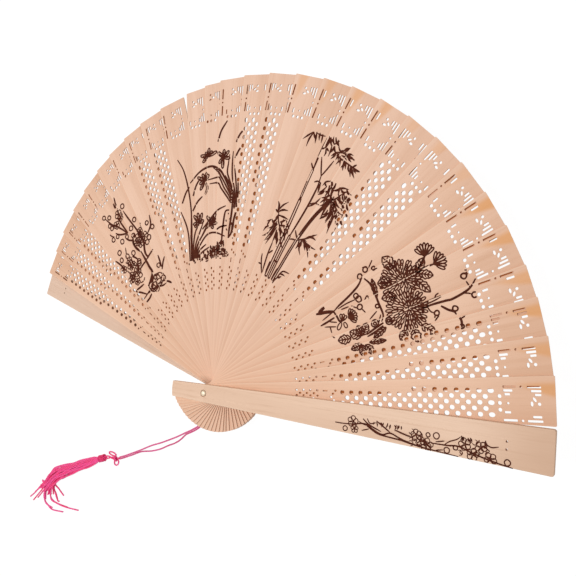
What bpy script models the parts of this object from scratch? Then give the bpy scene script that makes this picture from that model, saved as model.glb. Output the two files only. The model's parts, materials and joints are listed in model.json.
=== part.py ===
"""A folding wooden fan: two guards and twenty-eight thin blades on one rivet, with a corded tassel.

Metres, +Z up. The rivet's axis is the Z axis, the back guard lies on z = 0, and the open fan faces +Y.
"""

import math

import bmesh
import bpy
from mathutils import Matrix, Vector

MM = 0.001

# Spread of the open fan
BLADE_COUNT = 28
OPEN_ANGLE = math.radians(161.6)  # between the two guards' centre lines
UNEVEN_OPENING_DEG = (1.05, 0.72, -0.35)  # slow waves in the spacing that the hand leaves
# Blades swung off the wave, to the left where positive: the tenth to twelfth leave a slit open
STRAY_BLADES_DEG = {3: 0.5, 6: -0.5, 10: -0.7, 11: -2.2, 12: -1.7, 25: -0.45, 26: 0.5, 27: 0.75, 28: 1.05}

# Sticks, from the rivet's axis
STICK_REACH = 175.0 * MM  # to the middle of a tip
TAIL_REACH = 22.5 * MM  # to the round end of a tail
TIP_SLANT = 1.2 * MM  # how much further a blade's left tip corner reaches than its right
BLADE_PIVOT_WIDTH = 9.5 * MM
BLADE_TIP_WIDTH = 19.8 * MM
BLADE_THICKNESS = 0.5 * MM
BLADE_GAP = 0.2 * MM
GUARD_PIVOT_WIDTH = 9.5 * MM
GUARD_TIP_WIDTH = 18.2 * MM
GUARD_THICKNESS = 2.5 * MM

# Holes for the thread that links the sticks
THREAD_HOLE = 1.0 * MM
THREAD_FROM_TIP = 18.0 * MM
THREAD_PAIR_SPACING = 3.2 * MM  # between the two holes in a guard

# Openwork of some blades: staggered rows of openings, in three columns or two by turns
LATTICE_BLADES = (1, 2, 3, 8, 9, 14, 15, 20, 21, 26, 27, 28)
LATTICE_FROM_TIP = 25.4 * MM  # to the middle of the outermost row
LATTICE_ROWS = 12
LATTICE_WIDE_ROWS = 6  # rows from the tip that reach the two outer columns
LATTICE_ROW_PITCH = 5.8 * MM
LATTICE_COLUMN_PITCH = 2.35 * MM
OPENING_LENGTH = 4.4 * MM
OPENING_WIDTH = 1.85 * MM

# Rivet, with both heads let into the guards
RIVET_SHANK = 2.5 * MM
RIVET_HEAD = 3.3 * MM
RIVET_HEAD_EDGE = 0.5 * MM
RIVET_DOME = 0.7 * MM
COUNTERBORE_DEPTH = 0.8 * MM
CLEARANCE = 0.3 * MM

# Cord, bow and tassel
CORD = 1.1 * MM
WRAP_THREAD = 1.0 * MM
WRAP_TURNS = 4
WRAP_PITCH = 1.5 * MM
NECK = 2.8 * MM  # across the bundle inside the wrap
FLUTES = 9
FLUTE_DEPTH = 0.1  # share of the bundle's half width
BOW_THREAD = 1.1 * MM
STRAND_END = 1.4 * MM
TABLE_GAP = 0.1 * MM  # under what lies on the table

TAIL_STEPS = 8
HOLE_STEPS = 16
THREAD_HOLE_STEPS = 8
ROUND_STEPS = 24
LOOP_STEPS = 24
FLUTED_STEPS = 36

THREAD_REACH = STICK_REACH - THREAD_FROM_TIP
HITCH_SPACE = CORD + 2 * CLEARANCE
BLADE_PITCH = BLADE_THICKNESS + BLADE_GAP
BLADES_BOTTOM = GUARD_THICKNESS + HITCH_SPACE
FRONT_GUARD_BOTTOM = BLADES_BOTTOM + BLADE_COUNT * BLADE_PITCH
STACK_HEIGHT = FRONT_GUARD_BOTTOM + GUARD_THICKNESS
BACK_AXIS = math.pi / 2 + OPEN_ANGLE / 2
HITCH_LEVEL = GUARD_THICKNESS + HITCH_SPACE / 2
WRAP_RADIUS = NECK / 2 + CLEARANCE + WRAP_THREAD / 2
NECK_LEVEL = WRAP_RADIUS + WRAP_THREAD / 2 + TABLE_GAP
TABLE_CORD = CORD / 2 + TABLE_GAP  # height of a cord's middle where it lies on the table

# Routes on the table, chosen by hand in millimetres: the strands run from the rivet to the bow.
LEFT_STRAND = [
    (-2.07, -2.40), (-3.97, -5.81), (-6.40, -10.2), (-10.2, -16.4), (-14.6, -23.0), (-18.9, -28.2),
    (-23.1, -31.9), (-27.6, -35.1), (-33.4, -39.9), (-39.5, -44.1), (-45.3, -47.9), (-51.4, -51.5),
    (-55.9, -54.6), (-60.6, -57.7), (-67.4, -62.3), (-73.2, -66.0), (-76.9, -68.2),
]
RIGHT_STRAND = [
    (-0.93, -3.03), (-2.83, -6.44), (-5.25, -10.8), (-9.10, -17.1), (-13.55, -23.8), (-18.0, -29.2),
    (-22.3, -33.0), (-26.4, -36.4), (-29.2, -39.3), (-31.9, -42.3), (-35.1, -44.9), (-38.9, -47.4),
    (-44.6, -51.6), (-51.3, -55.2), (-56.2, -57.1), (-60.2, -59.2), (-66.7, -63.6), (-72.6, -67.3),
    (-76.2, -69.5),
]
DROP_POINTS = 6  # the route's points over which a strand comes down to the table

WRAP_START = Vector((-87.2, -71.9)) * MM
WRAP_HEADING = math.radians(209.7)
# Bow knot between the strands and the tassel's neck: middle on the table, half width and half height
BOW_RINGS = [((-76.8, -69.0), 1.5, 1.3), ((-78.9, -70.3), 1.8, 1.5), ((-81.8, -70.7), 1.7, 1.6)]
BOW_LEAD = 2.4 * MM  # straight stretch of the knot before the neck
# Bow loops: centre on the table, half length, half width and heading in degrees
BOW_LOOPS = [((-79.2, -73.2), 2.3, 1.9, 20.0), ((-84.2, -67.9), 3.0, 1.7, 25.0)]
BOW_LOOP_LEVEL = 0.9 * MM

# Tassel bundle after its neck: middle on the table, half width and half height, in millimetres
SKIRT_RINGS = [
    ((-97.0, -77.4), 2.5, 2.3), ((-103.0, -80.7), 3.2, 2.3), ((-109.0, -84.1), 3.7, 2.2),
    ((-115.0, -87.2), 4.0, 2.1), ((-121.0, -91.0), 4.2, 2.0), ((-126.5, -95.2), 4.4, 1.9),
    ((-131.0, -99.8), 4.7, 1.7), ((-134.6, -104.6), 5.0, 1.5), ((-137.4, -109.4), 4.8, 1.3),
    ((-139.4, -113.6), 3.6, 1.1),
]
# Loose strand ends that leave the bundle
STRAND_ENDS = [
    [(-138.5, -107.0), (-145.0, -114.0), (-151.0, -120.5), (-157.3, -128.0)],
    [(-139.0, -111.0), (-143.2, -117.5), (-148.6, -125.0)],
    [(-138.0, -112.0), (-139.6, -118.0), (-139.4, -122.6)],
    [(-137.0, -111.0), (-135.6, -117.6), (-130.5, -121.5), (-122.5, -123.8)],
    [(-133.5, -107.0), (-128.0, -113.4), (-118.5, -116.3), (-107.3, -116.8)],
    [(-132.0, -104.0), (-126.9, -109.6), (-123.0, -112.0)],
]


def material(name, colour, roughness, metallic=0.0):
    """A plain finish: base colour, roughness and metallic value."""
    made = bpy.data.materials.new(name)
    made.use_nodes = True
    shader = made.node_tree.nodes["Principled BSDF"]
    shader.inputs["Base Color"].default_value = (*colour, 1.0)
    shader.inputs["Roughness"].default_value = roughness
    shader.inputs["Metallic"].default_value = metallic
    return made


def add(name, data, finish, parent, smooth=False):
    """Put an object made from a mesh or a curve into the scene."""
    data.materials.append(finish)
    piece = bpy.data.objects.new(name, data)
    bpy.context.scene.collection.objects.link(piece)
    piece.parent = parent
    if smooth:
        data.shade_smooth()
        data.set_sharp_from_angle(angle=math.radians(40))
    return piece


def mesh_of(name, shape):
    """The finished mesh of a closed shape, with its faces pointing out."""
    bmesh.ops.recalc_face_normals(shape, faces=shape.faces)
    made = bpy.data.meshes.new(name)
    shape.to_mesh(made)
    shape.free()
    return made


def half_width(along, pivot_width, tip_width):
    """Half of a stick's width at a distance along it from the rivet's axis."""
    return (pivot_width + (tip_width - pivot_width) * along / STICK_REACH) / 2


def stick_outline(pivot_width, tip_width, slant):
    """A tapered stick along +X with a straight tip and a tail rounded about the rivet's axis."""
    slope = (tip_width - pivot_width) / (2 * STICK_REACH)
    start = pivot_width / 2
    square = 1 + slope * slope
    root = math.sqrt((start * slope) ** 2 - square * (start * start - TAIL_REACH**2))
    tail_x = (-start * slope - root) / square
    turn = math.atan2(half_width(tail_x, pivot_width, tip_width), -tail_x)
    left_x = STICK_REACH + slant / 2
    right_x = STICK_REACH - slant / 2
    points = [
        Vector((right_x, -half_width(right_x, pivot_width, tip_width), 0)),
        Vector((left_x, half_width(left_x, pivot_width, tip_width), 0)),
    ]
    for step in range(TAIL_STEPS + 1):
        angle = math.pi - turn + 2 * turn * step / TAIL_STEPS
        points.append(Vector((TAIL_REACH * math.cos(angle), TAIL_REACH * math.sin(angle), 0)))
    return points


def circle(centre, diameter, steps):
    """Points round a hole in a stick."""
    spokes = [2 * math.pi * step / steps for step in range(steps)]
    return [centre + Vector((math.cos(a), math.sin(a), 0)) * diameter / 2 for a in spokes]


def plate(name, outline, holes, thickness):
    """A flat plate on z = 0 with straight holes through it."""
    shape = bmesh.new()
    for loop in [outline, *holes]:
        corners = [shape.verts.new(point) for point in loop]
        for first, second in zip(corners, corners[1:] + corners[:1]):
            shape.edges.new((first, second))
    bmesh.ops.triangle_fill(shape, edges=shape.edges[:], use_beauty=True, normal=(0, 0, 1))
    raised = bmesh.ops.extrude_face_region(shape, geom=shape.faces[:])["geom"]
    top = [item for item in raised if isinstance(item, bmesh.types.BMVert)]
    bmesh.ops.translate(shape, verts=top, vec=(0, 0, thickness))
    return mesh_of(name, shape)


def turned(name, profile):
    """A solid of revolution about Z. The profile starts and ends on the axis and goes upwards."""
    shape = bmesh.new()
    rings = []
    for radius, level in profile[1:-1]:
        spokes = [2 * math.pi * step / ROUND_STEPS for step in range(ROUND_STEPS)]
        rings.append([shape.verts.new((radius * math.cos(a), radius * math.sin(a), level)) for a in spokes])
    poles = [shape.verts.new((0, 0, profile[0][1])), shape.verts.new((0, 0, profile[-1][1]))]
    for step in range(ROUND_STEPS):
        after = (step + 1) % ROUND_STEPS
        shape.faces.new((poles[0], rings[0][after], rings[0][step]))
        shape.faces.new((poles[1], rings[-1][step], rings[-1][after]))
        for low, high in zip(rings, rings[1:]):
            shape.faces.new((low[step], low[after], high[after], high[step]))
    return mesh_of(name, shape)


def smooth_route(points, spacing):
    """Evenly spaced points on a smooth curve through a route's own points."""
    ends = [points[0] * 2 - points[1], *points, points[-1] * 2 - points[-2]]
    fine = []
    for before, start, end, after in zip(ends, ends[1:], ends[2:], ends[3:]):
        for step in range(20):
            t = step / 20
            bend = (before * 2 - start * 5 + end * 4 - after) * t * t
            twist = (start * 3 - before - end * 3 + after) * t * t * t
            fine.append((start * 2 + (end - before) * t + bend + twist) / 2)
    fine.append(points[-1])
    lengths = [0.0]
    for first, second in zip(fine, fine[1:]):
        lengths.append(lengths[-1] + (second - first).length)
    count = max(2, round(lengths[-1] / spacing))
    spaced = []
    at = 0
    for step in range(count + 1):
        want = lengths[-1] * step / count
        while at < len(fine) - 2 and lengths[at + 1] < want:
            at += 1
        share = (want - lengths[at]) / (lengths[at + 1] - lengths[at])
        spaced.append(fine[at].lerp(fine[at + 1], share))
    return spaced


def tube(name, points, diameter, resolution, closed=False):
    """A round tube along points, with filled caps where it is open."""
    line = bpy.data.curves.new(name, "CURVE")
    line.dimensions = "3D"
    line.bevel_depth = diameter / 2
    line.bevel_resolution = resolution
    line.use_fill_caps = True
    spline = line.splines.new("POLY")
    spline.points.add(len(points) - 1)
    spline.use_cyclic_u = closed
    for target, point in zip(spline.points, points):
        target.co = (*point, 1.0)
    return line


def solid_tube(name, points, diameter, resolution, closed=False):
    """The same tube as a closed mesh, for joining onto another piece."""
    holder = bpy.data.objects.new(name, tube(name, points, diameter, resolution, closed))
    shape = bmesh.new()
    shape.from_mesh(bpy.data.meshes.new_from_object(holder))
    bpy.data.objects.remove(holder)
    bmesh.ops.remove_doubles(shape, verts=shape.verts, dist=0.001 * MM)
    return mesh_of(name, shape)


def cutter(name, data, parent):
    """A hidden solid that only cuts or joins."""
    guide = bpy.data.objects.new(name, data)
    bpy.context.scene.collection.objects.link(guide)
    guide.parent = parent
    guide.hide_render = True
    guide.display_type = "WIRE"
    return guide


def combine(piece, guide, operation):
    """Cut a guide out of a piece, or join it on."""
    step = piece.modifiers.new(guide.name, "BOOLEAN")
    step.object = guide
    step.operation = operation
    step.solver = "EXACT"


def opened_from_back(number):
    """How far blade number has swung from the back guard's centre line in the open fan."""
    share = number / (BLADE_COUNT + 1)
    wave = sum(size * math.sin((k + 1) * math.pi * share) for k, size in enumerate(UNEVEN_OPENING_DEG))
    stray = STRAY_BLADES_DEG.get(number, 0.0)
    return OPEN_ANGLE * share - math.radians(wave + stray)


def make_guard(name, level, axis, counterbore_level, finish, parent):
    """A thick end stick, its rivet hole counterbored on the outer face."""
    pair = [Vector((THREAD_REACH, side * THREAD_PAIR_SPACING / 2, 0)) for side in (-1, 1)]
    holes = [circle(place, THREAD_HOLE, THREAD_HOLE_STEPS) for place in pair]
    outline = stick_outline(GUARD_PIVOT_WIDTH, GUARD_TIP_WIDTH, 0.0)
    guard = add(name, plate(name, outline, holes, GUARD_THICKNESS), finish, parent)
    guard.location.z = level
    guard.rotation_euler.z = axis
    bore = RIVET_SHANK / 2 + CLEARANCE
    wide = RIVET_HEAD / 2 + CLEARANCE
    past = GUARD_THICKNESS
    if counterbore_level == 0.0:
        profile = [(0, -past), (wide, -past), (wide, COUNTERBORE_DEPTH), (bore, COUNTERBORE_DEPTH)]
        profile += [(bore, GUARD_THICKNESS + past), (0, GUARD_THICKNESS + past)]
    else:
        step = GUARD_THICKNESS - COUNTERBORE_DEPTH
        profile = [(0, -past), (bore, -past), (bore, step), (wide, step)]
        profile += [(wide, GUARD_THICKNESS + past), (0, GUARD_THICKNESS + past)]
    hole = cutter(name + "_rivet_hole", turned(name + "_rivet_hole", profile), guard)
    combine(guard, hole, "DIFFERENCE")
    return guard


def lattice():
    """The staggered openings along a blade, as loops of corners."""
    corners = [(-1, -1), (1, -1), (1, 1), (-1, 1)]
    openings = []
    for row in range(LATTICE_ROWS):
        along = STICK_REACH - LATTICE_FROM_TIP - row * LATTICE_ROW_PITCH
        columns = (-2, 0, 2) if row < LATTICE_WIDE_ROWS else (0,)
        for column in (-1, 1) if row % 2 else columns:
            middle = Vector((along, column * LATTICE_COLUMN_PITCH, 0))
            half = (OPENING_LENGTH / 2, OPENING_WIDTH / 2)
            openings.append([middle + Vector((x * half[0], y * half[1], 0)) for x, y in corners])
    return openings


def make_blades(finish, parent):
    """Thin tapered sticks, each on its own level, right over left, some with a pierced lattice."""
    outline = stick_outline(BLADE_PIVOT_WIDTH, BLADE_TIP_WIDTH, TIP_SLANT)
    rivet_hole = circle(Vector((0, 0, 0)), RIVET_SHANK + 2 * CLEARANCE, HOLE_STEPS)
    thread_hole = circle(Vector((THREAD_REACH, 0, 0)), THREAD_HOLE, THREAD_HOLE_STEPS)
    holes = [rivet_hole, thread_hole]
    plain = plate("plain_blade", outline, holes, BLADE_THICKNESS)
    pierced = plate("lattice_blade", outline, holes + lattice(), BLADE_THICKNESS)
    plain.materials.append(finish)
    pierced.materials.append(finish)
    for number in range(1, BLADE_COUNT + 1):
        shape = pierced if number in LATTICE_BLADES else plain
        blade = bpy.data.objects.new(f"blade_{number:02d}", shape)
        bpy.context.scene.collection.objects.link(blade)
        blade.parent = parent
        blade.location.z = BLADES_BOTTOM + (number - 1) * BLADE_PITCH
        blade.rotation_euler.z = BACK_AXIS - opened_from_back(number)


def make_rivet(finish, parent):
    """Shank through the whole stack, a flat head flush at the back and a low dome at the front."""
    shank = RIVET_SHANK / 2
    head = RIVET_HEAD / 2
    back = COUNTERBORE_DEPTH - CLEARANCE
    front = STACK_HEIGHT - COUNTERBORE_DEPTH + CLEARANCE
    rim = front + RIVET_HEAD_EDGE
    profile = [(0, 0), (head, 0), (head, back), (shank, back), (shank, front), (head, front), (head, rim)]
    for step in range(1, 5):
        turn = math.pi / 2 * step / 5
        profile.append((head * math.cos(turn), rim + RIVET_DOME * math.sin(turn)))
    profile.append((0, rim + RIVET_DOME))
    add("pivot_rivet", turned("pivot_rivet", profile), finish, parent, smooth=True)


def make_hitch(finish, parent):
    """The cord's turn round the rivet, between the back guard and the lowest blade."""
    radius = RIVET_SHANK / 2 + CLEARANCE + CORD / 2
    ring = circle(Vector((0, 0, HITCH_LEVEL)), 2 * radius, LOOP_STEPS)
    add("cord_hitch", tube("cord_hitch", ring, CORD, 2, closed=True), finish, parent)


def make_strand(name, route, finish, parent):
    """One strand of the doubled cord: level out of the fan, then down to the table."""
    points = []
    for index, (x, y) in enumerate(route):
        fall = min(1.0, max(0.0, (index - 1) / (DROP_POINTS - 1)))
        ease = fall * fall * (3 - 2 * fall)
        level = HITCH_LEVEL + (TABLE_CORD - HITCH_LEVEL) * ease
        points.append(Vector((x * MM, y * MM, level)))
    add(name, tube(name, smooth_route(points, 3 * CORD), CORD, 2), finish, parent)


def bundle(name, rings, flutes, depth):
    """A closed body lofted through upright rings, each a centre, a half width and a half height."""
    shape = bmesh.new()
    loops = []
    for index, (centre, wide, high) in enumerate(rings):
        along = rings[min(index + 1, len(rings) - 1)][0] - rings[max(index - 1, 0)][0]
        across = Vector((-along.y, along.x, 0)).normalized()
        loop = []
        for step in range(FLUTED_STEPS):
            angle = 2 * math.pi * step / FLUTED_STEPS
            swell = 1 - depth + depth * math.cos(flutes * angle)
            offset = across * wide * math.cos(angle) + Vector((0, 0, high)) * math.sin(angle)
            loop.append(shape.verts.new(centre + offset * swell))
        loops.append(loop)
    for first, second in zip(loops, loops[1:]):
        for step in range(FLUTED_STEPS):
            after = (step + 1) % FLUTED_STEPS
            shape.faces.new((first[step], first[after], second[after], second[step]))
    shape.faces.new(loops[0])
    shape.faces.new(loops[-1])
    return mesh_of(name, shape)


def lying(rings):
    """Rings in millimetres on the table, as the body's own rings in metres."""
    lifted = []
    for (x, y), wide, high in rings:
        lifted.append((Vector((x * MM, y * MM, high * MM + TABLE_GAP)), wide * MM, high * MM))
    return lifted


def neck_line():
    """Where the tassel's neck starts, and the way it points."""
    heading = Vector((math.cos(WRAP_HEADING), math.sin(WRAP_HEADING), 0))
    return Vector((*WRAP_START, NECK_LEVEL)), heading


def make_bow(finish, parent):
    """The knot that gathers the two strands, with its two small loops."""
    neck, heading = neck_line()
    end = neck - heading * CLEARANCE
    rings = lying(BOW_RINGS)
    rings += [(end - heading * BOW_LEAD, NECK / 2, NECK / 2), (end, NECK / 2, NECK / 2)]
    bow = add("cord_bow", bundle("cord_bow", rings, 0, 0.0), finish, parent)
    for number, (centre, half_long, half_wide, heading_deg) in enumerate(BOW_LOOPS, 1):
        turn = Matrix.Rotation(math.radians(heading_deg), 3, "Z")
        ring = []
        for step in range(LOOP_STEPS):
            angle = 2 * math.pi * step / LOOP_STEPS
            flat = Vector((half_long * math.cos(angle), half_wide * math.sin(angle), 0)) * MM
            ring.append(turn @ flat + Vector((centre[0] * MM, centre[1] * MM, BOW_LOOP_LEVEL)))
        loop = solid_tube(f"bow_loop_{number}", ring, BOW_THREAD, 1, closed=True)
        combine(bow, cutter(f"bow_loop_{number}", loop, bow), "UNION")


def make_wrap(finish, parent):
    """The thread wound round the tassel's neck, as one unbroken coil."""
    neck, heading = neck_line()
    across = Vector((-heading.y, heading.x, 0))
    start = neck + heading * WRAP_THREAD / 2
    coil = []
    for step in range(WRAP_TURNS * LOOP_STEPS + 1):
        turns = step / LOOP_STEPS
        angle = 2 * math.pi * turns
        round_neck = across * math.cos(angle) + Vector((0, 0, 1)) * math.sin(angle)
        coil.append(start + heading * WRAP_PITCH * turns + round_neck * WRAP_RADIUS)
    apart = LOOP_STEPS // 2
    nearest = min((a - b).length for i, a in enumerate(coil) for b in coil[i + apart:])
    print(f"tassel_wrap: least gap between turns {(nearest - WRAP_THREAD) / MM:.2f} mm")
    add("tassel_wrap", tube("tassel_wrap", coil, WRAP_THREAD, 1), finish, parent)


def make_skirt(finish, parent):
    """The tassel's bundle of threads: a neck inside the wrap, a fluted body and a few loose ends."""
    neck, heading = neck_line()
    neck_length = WRAP_TURNS * WRAP_PITCH + WRAP_THREAD
    rings = [(neck, NECK / 2, NECK / 2), (neck + heading * neck_length, NECK / 2, NECK / 2)]
    rings += lying(SKIRT_RINGS)
    skirt = add("tassel_skirt", bundle("tassel_skirt", rings, FLUTES, FLUTE_DEPTH), finish, parent)
    for number, route in enumerate(STRAND_ENDS, 1):
        points = [Vector((x * MM, y * MM, STRAND_END / 2 + TABLE_GAP)) for x, y in route]
        loose = solid_tube(f"strand_end_{number}", smooth_route(points, 2 * STRAND_END), STRAND_END, 1)
        combine(skirt, cutter(f"strand_end_{number}", loose, skirt), "UNION")


def main():
    for old in list(bpy.data.objects):
        bpy.data.objects.remove(old)
    axis = bpy.data.objects.new("rivet_axis", None)
    bpy.context.scene.collection.objects.link(axis)

    blade_wood = material("blade_wood", (0.79, 0.52, 0.37), 0.62)
    guard_wood = material("guard_wood", (0.80, 0.58, 0.39), 0.55)
    brass = material("brass", (0.80, 0.66, 0.36), 0.3, 1.0)
    pink_cord = material("pink_cord", (0.86, 0.045, 0.21), 0.55)

    make_guard("back_guard", 0.0, BACK_AXIS, 0.0, guard_wood, axis)
    make_blades(blade_wood, axis)
    front_axis = BACK_AXIS - OPEN_ANGLE
    make_guard("front_guard", FRONT_GUARD_BOTTOM, front_axis, GUARD_THICKNESS, guard_wood, axis)
    make_rivet(brass, axis)
    make_hitch(pink_cord, axis)
    make_strand("cord_strand_left", LEFT_STRAND, pink_cord, axis)
    make_strand("cord_strand_right", RIGHT_STRAND, pink_cord, axis)
    make_bow(pink_cord, axis)
    make_wrap(pink_cord, axis)
    make_skirt(pink_cord, axis)


main()
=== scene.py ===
"""Looks of the folding wooden fan: pierced blades, burnt drawings, brass rivet, pink cord and tassel.

Metres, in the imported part's own frame. Drawings are laid out in millimetres on the open fan.
"""

import json
import math
import random
from typing import NamedTuple

import bmesh
import bpy
from mathutils import Matrix, Vector


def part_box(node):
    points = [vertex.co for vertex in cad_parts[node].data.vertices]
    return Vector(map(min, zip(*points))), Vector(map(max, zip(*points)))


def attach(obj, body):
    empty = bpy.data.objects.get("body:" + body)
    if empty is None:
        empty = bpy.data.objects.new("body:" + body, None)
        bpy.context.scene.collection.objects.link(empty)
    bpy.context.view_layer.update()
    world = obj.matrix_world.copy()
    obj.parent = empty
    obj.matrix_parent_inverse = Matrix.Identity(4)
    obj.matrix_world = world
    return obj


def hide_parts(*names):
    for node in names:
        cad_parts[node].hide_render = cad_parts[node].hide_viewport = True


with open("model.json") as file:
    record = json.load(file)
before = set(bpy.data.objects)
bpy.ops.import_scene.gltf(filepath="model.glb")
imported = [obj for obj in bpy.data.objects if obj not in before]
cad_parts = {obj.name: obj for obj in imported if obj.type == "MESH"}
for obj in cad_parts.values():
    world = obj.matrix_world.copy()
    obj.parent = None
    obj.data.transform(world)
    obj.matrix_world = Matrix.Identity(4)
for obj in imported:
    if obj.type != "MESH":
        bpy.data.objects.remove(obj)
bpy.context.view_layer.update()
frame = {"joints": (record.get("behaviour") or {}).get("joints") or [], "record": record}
MM = 0.001
WELD = 0.001 * MM  # points closer than this are one

# Camera at the photograph's view, light and floor
CAMERA_PLACE = Vector((198.66, 86.63, 282.08)) * MM
CAMERA_TARGET = Vector((23.30, 63.71, 0.0)) * MM
CAMERA_ROLL = math.radians(-85.147)  # from level, about the line of sight
CAMERA_LENS_MM = 38.149
SENSOR_MM = 36.0
KEY_TARGET = Vector((20.0, 60.0, 0.0)) * MM
KEY_FROM = Vector((-0.18, -0.02, 0.95))
KEY_DISTANCE = 1.1
KEY_SIZE = 0.35
KEY_POWER = 6.3
STUDIO_LIGHT = 0.42
FLOOR_SIZE = 3.0
FLOOR_DROP = 0.05 * MM  # below the lowest faces
FLOOR_GLOW = 0.96

# Sticks, measured from the rivet's axis
BLADE_COUNT = 28
STICK_REACH = 175.0 * MM
TAIL_REACH = 22.5 * MM
TIP_SLANT = 0.5 * MM
WORN_LENGTH = 11.0 * MM
WORN_TIPS = {10: (0.6 * MM, 0.0), 11: (0.0, 0.85 * MM)}  # right and left edge, beside an open slit
BLADE_WIDTHS = (9.5 * MM, 19.8 * MM)  # at the rivet and at the tip
GUARD_WIDTHS = (9.5 * MM, 18.2 * MM)
TAIL_STEPS = 20
RIVET_BORE = 3.1 * MM
COUNTERBORE = 3.9 * MM
COUNTERBORE_DEPTH = 0.8 * MM
THREAD_REACH = 157.0 * MM
THREAD_HOLE = 1.0 * MM
THREAD_PAIR_SPACING = 3.2 * MM
BORE_STEPS = 32
THREAD_HOLE_STEPS = 14
WALL_INSIDE = 0.05 * MM  # a wall further than this from the outline is a hole's
RIVET_HEAD = 1.65 * MM
RIVET_SHANK = 1.25 * MM
BACK_HEAD = 0.5 * MM
FRONT_RIM = 0.5 * MM
FRONT_DOME = 0.7 * MM
STICK_TURN = 0.0975  # radians from one open stick to the next
# Colour of the painted highlight along the sticks' edges
EDGE_HIGHLIGHT = (0.95, 0.71, 0.53)
TAN_STAIN = (0.84, 0.40, 0.15)
BLADE_CORNER = 0.5 * MM  # rounding of a blade's tip corners
GUARD_EDGE = 0.3 * MM  # rounding of a guard's long edges
GUARD_CORNER = 1.0 * MM  # rounding of a guard's tip corners

class Hole(NamedTuple):
    """A hole in a stick, in millimetres and degrees."""

    along: float
    across: float
    length: float
    width: float
    rounded: bool = False
    turn_deg: float = 0.0

    @property
    def kind(self):
        """1 for a square, 2 for a slit, 3 for a round hole."""
        return 3.0 if self.rounded else 2.0 if self.length > 1.5 * self.width else 1.0


# Piercing: a checkered lattice on some blades, a fret near every tip, small dots near the rivet
LATTICE_BLADES = (1, 2, 3, 8, 9, 14, 15, 20, 21, 26, 27, 28)
LATTICE_TOP = 150.3
LATTICE_PITCH = (2.35, 2.45)  # along and across
LATTICE_HOLE = (2.25, 2.0)
LATTICE_TOP_HOLE = (2.7, 2.0)  # in the outermost row
NARROW_LATTICES = (8, 9, 14, 15, 20, 21)  # without the right-hand column
WIDE_COLUMNS_END = 116.0  # the two outer columns stop here
LATTICE_END = 81.0
FRET_MIDDLE = 162.3
FULL_SLITS = (  # across, and along from and to, on the side with more slits
    (6.7, 164.6, 169.9), (6.7, 155.2, 160.3), (5.1, 166.0, 169.9),
    (5.1, 155.3, 158.9), (3.6, 167.4, 169.8), (3.6, 155.7, 157.9),
)
SPARSE_SLITS = ((6.8, 164.1, 169.9), (6.8, 154.8, 160.3), (3.65, 155.4, 157.9))
EXTRA_SLIT = (5.1, 166.2, 169.6)  # on the sparse side of all blades but the first picture blades
EXTRA_FROM = 17
FRET_SLIT_WIDTH = 0.95
FRET_DOT = 1.05
FLOWER_DOT = Hole(168.9, 0.0, 1.35, 1.35, True)
FLOWER_CUP = Hole(166.1, 0.0, 1.15, 2.1, True)
FLOWER_LEAF = Hole(167.2, 1.7, 2.2, 1.1, True, -58)  # on the full side
FOOT_DOT = 1.65
FOOT_DOTS = (153.7, 2.75)  # along, and spacing across
HOLE_CORNER = 0.42  # rounding, as a share of a square hole's side
SLIT_CORNER = 0.1
PATTERN_SHIFTS = (  # how far right of each blade's middle its pattern sits, at the fret
    0.2, 0.0, 0.6, -0.6, -1.0, -2.1, -1.4, 0.0, 0.6, -1.3, -4.3, -5.4, -0.6, 0.2,
    -0.8, -1.4, -0.65, -0.55, -0.6, 0.0, 0.7, -0.3, -1.05, -1.35, -1.5, 0.4, 0.9, 1.3,
)
ROOT_ROWS = 7  # of dots near the rivet
ROOT_TOP = 68.8
ROOT_PITCH = 1.95
ROOT_DOT = (1.5, 1.1)
ROOT_ZIGZAG = (3.1, 1.6)  # across, in even and odd rows
SECOND_ZIGZAG = (-2.4, -0.9)  # under a lattice, a little further in
SECOND_STEP = 0.6
DENSE_ROOTS_FROM = 26  # more dots near the rivet from this blade on
DENSE_DOT = (0.5, 1.4, 1.0)  # across, length and width, in even rows
ROOT_CLUSTER = ((78.6, 3.1), (77.2, 1.6), (76.0, 0.1), (77.4, -1.5), (78.8, -3.0))  # along, across
CLUSTER_DOT = (1.4, 1.1)
ROOT_DASH = (73.0, 2.9, 2.6, 0.6)  # along, across, length and width, on either side
RIM_LEFT = 0.5  # least wood between a hole and the blade's edge

# Cord and tassel: routes on the table in millimetres, the cord's as the part has them
CORD = 1.1 * MM
CORD_LAY = 3.3 * MM  # length of one twist
CORD_PLIES = 3
HITCH_LEVEL = 3.35 * MM
HITCH_RADIUS = 2.1 * MM
TABLE_CORD = 0.65 * MM
DROP_POINTS = 6
LEFT_STRAND = [
    (-2.07, -2.40), (-3.97, -5.81), (-6.40, -10.2), (-10.2, -16.4), (-14.5, -23.1), (-18.8, -28.3),
    (-23.0, -32.0), (-27.4, -35.3), (-33.4, -39.9), (-39.5, -44.1), (-45.3, -47.9), (-51.4, -51.5),
    (-55.9, -54.6), (-60.5, -57.9), (-67.35, -62.45), (-73.1, -66.2), (-76.8, -68.4),
]
RIGHT_STRAND = [
    (-0.93, -3.03), (-2.83, -6.44), (-5.25, -10.8), (-9.10, -17.1), (-13.65, -23.7), (-18.1, -29.1),
    (-22.35, -32.85), (-26.7, -36.1), (-29.2, -39.3), (-31.9, -42.3), (-35.1, -44.9), (-38.9, -47.4),
    (-44.6, -51.6), (-51.3, -55.2), (-56.2, -57.1), (-60.3, -59.0), (-66.85, -63.4), (-72.7, -67.15),
    (-76.3, -69.35),
]
WRAP_START = Vector((-87.2, -71.9, 2.8)) * MM
WRAP_HEADING = math.radians(209.7)
WRAP_ALONG = Vector((math.cos(WRAP_HEADING), math.sin(WRAP_HEADING), 0))
WRAP_ACROSS = Vector((-WRAP_ALONG.y, WRAP_ALONG.x, 0))
WRAP_TURNS = 5
WRAP_PITCH = 1.15 * MM
WRAP_RADIUS = 1.95 * MM
WRAP_THREAD = 0.95 * MM
NECK = 2.8 * MM
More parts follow.
